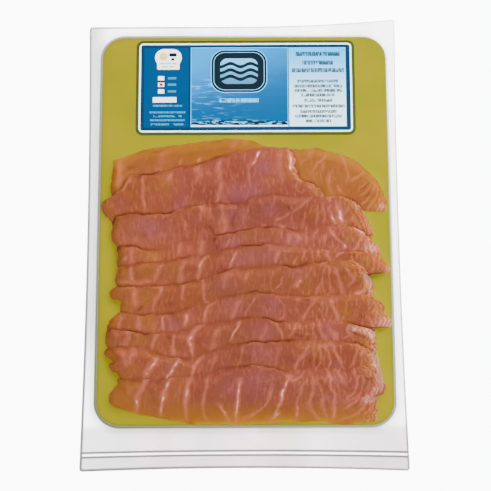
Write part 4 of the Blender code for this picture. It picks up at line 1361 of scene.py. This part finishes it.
def paint_left_field(paper):
    """A plain domed badge, three tick boxes, a long box and five rows of small print."""
    dome, foot = (paper.box(*part) for part in BADGE)
    paper.paint(dome.math("MAXIMUM", foot), PRINT_WHITE)
    paper.paint(paper.box(*BADGE_DISC), PRINT_YELLOW)
    for bar in BADGE_BARS:
        paper.paint(paper.box(*bar), PRINT_NAVY)
    paper.paint(paper.print_rows(-57.6, BADGE_ROWS, 1.1, 1.1, 61.0) * 0.7, PRINT_NAVY)
    for low in TICK_FEET:
        paper.paint(paper.box(-65.2, -60.6, low, low + 3.3), PRINT_WHITE)
        paper.paint(paper.box(-58, -51.6, low + 0.7, low + 2.6) * 0.8, PRINT_MIST)
    paper.paint(paper.box(*TICK_MARK), PRINT_RED)
    paper.paint(paper.box(*LONG_BOX), PRINT_WHITE)
    paper.paint(paper.print_rows(-58, LEFT_ROWS, 1.6, 0.8, 3.0), PRINT_MIST)


def paint_water(paper):
    """The middle field: light sky at the upper left that deepens to the right and down into water
    with pale surf, and a navy foot with white foam. A thin pale line runs round it."""
    field = paper.box(*WATER_FIELD)
    field_foot = WATER_FIELD[2]
    paper.paint(paper.box(*grown(WATER_FIELD, 0.5)), SURF)
    swell = paper.mottle(18, 7, 2.0, 11.0) - 0.5
    light = (paper.y * 0.9 - paper.x * 0.35 + swell * 14).ramp(-14.0, 40.0)
    water = (paper.y + swell * 8 - paper.x * 0.05).ramp(-24.0, 2.0)
    sea = paper.mix(water, WATER_DEEP, paper.mix(light, SKY_DEEP, SKY_LIGHT))
    streaks = paper.mottle(11, 1.7, 3.0, 17.0)
    calm = paper.x.ramp(-38.0, 12.0)
    below = 1 - paper.y.ramp(2.0, 9.0)
    sea = paper.mix(streaks.ramp(0.42, 0.30) * below * (1 - calm * 0.5) * 0.6, sea, WATER_DEEP)
    high_surf = 1 - abs(paper.y - 6).ramp(2.0, 9.0)
    crest = streaks.ramp(0.53, 0.66) * below * (1 - calm) * (0.35 + 0.65 * high_surf)
    sea = paper.mix(crest, sea, SURF)
    foot = 1 - (paper.y + swell * 4).ramp(-27.5, -25.0)
    foam = paper.mottle(5, 1.4, 2.0, 23.0).ramp(0.48, 0.60)
    sea = paper.mix(foot, sea, paper.mix(foam * 0.85, PRINT_NAVY, SURF))
    paper.paint(field, sea)
    paper.paint(field * (1 - paper.y.ramp(field_foot + 0.6, field_foot + 1.2)), PRINT_WHITE)


def paint_plaque(paper):
    """A navy plaque with round corners, a pale line round it, and three waves on a pale field."""
    rings = ((0.7, 10.5, SURF), (0, 9.8, PRINT_NAVY), (-1.4, 8.6, SURF), (-1.9, 8.2, PRINT_NAVY))
    for by, corner, colour in rings:
        paper.paint(paper.box(*grown(PLAQUE, by), corner), colour)
    inner = paper.box(*grown(PLAQUE, -6.4), 5.5)
    paper.paint(inner, paper.mix(paper.y.ramp(4.0, 22.0), PRINT_MIST, SURF))
    wave = (paper.x * 0.42).math("SINE") * 1.3
    for middle in PLAQUE_WAVES:
        stroke = abs(paper.y - middle - wave).math("LESS_THAN", 1.3)
        paper.paint(stroke * inner, PRINT_NAVY)
    paper.paint(paper.print_rows(-5, PLAQUE_ROWS, 3.2, 1.3, 37.0), SURF)


def paint_right_field(paper):
    """Pale blue that lightens downwards, with three heading rows and nine rows of small print."""
    paper.paint(paper.box(*grown(RIGHT_FIELD, 0.4)), SURF)
    paper.paint(paper.box(*RIGHT_FIELD), paper.mix(paper.y.ramp(-20.0, 34.0), PALE_FOOT, PALE_TOP))
    paper.paint(paper.print_rows(54, RIGHT_HEADINGS, 3.4, 1.0, 43.0) * 0.9, PRINT_NAVY)
    paper.paint(paper.print_rows(54, RIGHT_ROWS, 2.4, 0.8, 53.0) * 0.92, PRINT_NAVY)


label_rings = np.array([0, 0.1, 0.4, 1, 3, 8, 15, 22, 28, 33, 36])
label_outlines = rounded_sheet(LABEL_WIDTH, LABEL_HEIGHT, LABEL_CORNER, label_rings, 10)
label_points = label_outlines + (LABEL_X, LABEL_Y)
label_inset = np.broadcast_to(label_rings[:, None], label_outlines.shape[:2])
label_base = CARD_TOP + FILM_CLEARANCE + LABEL_LIFT
label_wave = 0.05 * unevenness(label_points[..., 0], label_points[..., 1], 30, 700) + 0.05
label_back = label_base + label_wave
label_front = label_back + LABEL_PAPER - LABEL_EDGE_DROP * (1 - smooth(label_inset / 0.4))
label = slab_from_outlines("label_print", label_points, label_front, label_back)

paper = PrintedPaper("printed_label", LABEL_SHADOW_DARK)
paint_fields(paper)
paint_left_field(paper)
paint_water(paper)
paint_plaque(paper)
paint_right_field(paper)
label_grain = paper.speckle(paper.where, 1500, 2)
coated = paper.principled(
    base_color=paper.colour,
    roughness=0.34 + 0.1 * label_grain,
    specular_ior_level=0.06,
    normal=paper.bump(label_grain, 0.00001),
)
label.data.materials.append(paper.surface(coated))
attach(label, "root")
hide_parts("label")


# ---------------------------------------------------------------------------------------------
# The table, the light and the camera: a pale table, even light from all round, two wide soft lamps
# and a small one for the film's glints, and a long lens that looks steeply down.

FLOOR_DROP = 0.25
FLOOR_REACH = 3.4
DAYLIGHT = 0.35
floor_mesh = bpy.data.meshes.new("floor")
floor_corners = [(-1, -1), (1, -1), (1, 1), (-1, 1)]
floor_points = [(FLOOR_REACH * x, FLOOR_REACH * y, -FLOOR_DROP * MM) for x, y in floor_corners]
floor_mesh.from_pydata(floor_points, [], [(0, 1, 2, 3)])
floor = bpy.data.objects.new("floor", floor_mesh)
bpy.context.scene.collection.objects.link(floor)
table = Recipe("pale_table")
table_shine = table.principled(
    base_color=(0.86, 0.86, 0.86), roughness=0.7, emission_color=(1.0, 1.0, 1.0), emission_strength=8.0
)
floor.data.materials.append(table.surface(table_shine))

world = bpy.data.worlds.new("studio")
world.use_nodes = True
world.node_tree.nodes["Background"].inputs["Color"].default_value = (1, 1, 1, 1)
world.node_tree.nodes["Background"].inputs["Strength"].default_value = DAYLIGHT
bpy.context.scene.world = world


def soft_lamp(name, place, width, power, mirrored):
    """A square studio lamp at a place in metres, facing the origin. Its image shows in glossy
    things only if it is mirrored."""
    light = bpy.data.lights.new(name, "AREA")
    light.shape = "SQUARE"
    light.size = width
    light.energy = power
    lamp = bpy.data.objects.new(name, light)
    bpy.context.scene.collection.objects.link(lamp)
    lamp.location = place
    lamp.visible_glossy = mirrored
    x, y, z = place
    lamp.rotation_euler = (math.atan2(math.hypot(x, y), z), 0, math.atan2(-y, -x) - math.pi / 2)


soft_lamp("key_lamp", (1.0, 1.45, 2.4), 1.5, 205, False)
soft_lamp("fill_lamp", (-1.1, -1.5, 2.4), 2.6, 130, False)
soft_lamp("glint_lamp", (0.95, 0.1, 0.75), 0.5, 3, True)

VIEW_ELEVATION = math.radians(75)
VIEW_ROLL = math.radians(-0.2)
VIEW_DISTANCE = 1.19526  # metres
VIEW_RIGHT_OF_CARD = 0.65
VIEW_BELOW_CARD = 14.72
VIEW_LENS = 120.6
VIEW_SENSOR = 36
view_x = (CARD_X + VIEW_RIGHT_OF_CARD) * MM
view_y = (CARD_Y - VIEW_BELOW_CARD) * MM
camera_data = bpy.data.cameras.new("camera")
camera_data.lens = VIEW_LENS
camera_data.sensor_width = VIEW_SENSOR
camera = bpy.data.objects.new("camera", camera_data)
bpy.context.scene.collection.objects.link(camera)
camera.location = (
    view_x,
    view_y - VIEW_DISTANCE * math.cos(VIEW_ELEVATION),
    VIEW_DISTANCE * math.sin(VIEW_ELEVATION),
)
camera.rotation_mode = "ZYX"
camera.rotation_euler = (math.pi / 2 - VIEW_ELEVATION, 0, VIEW_ROLL)
bpy.context.scene.camera = camera
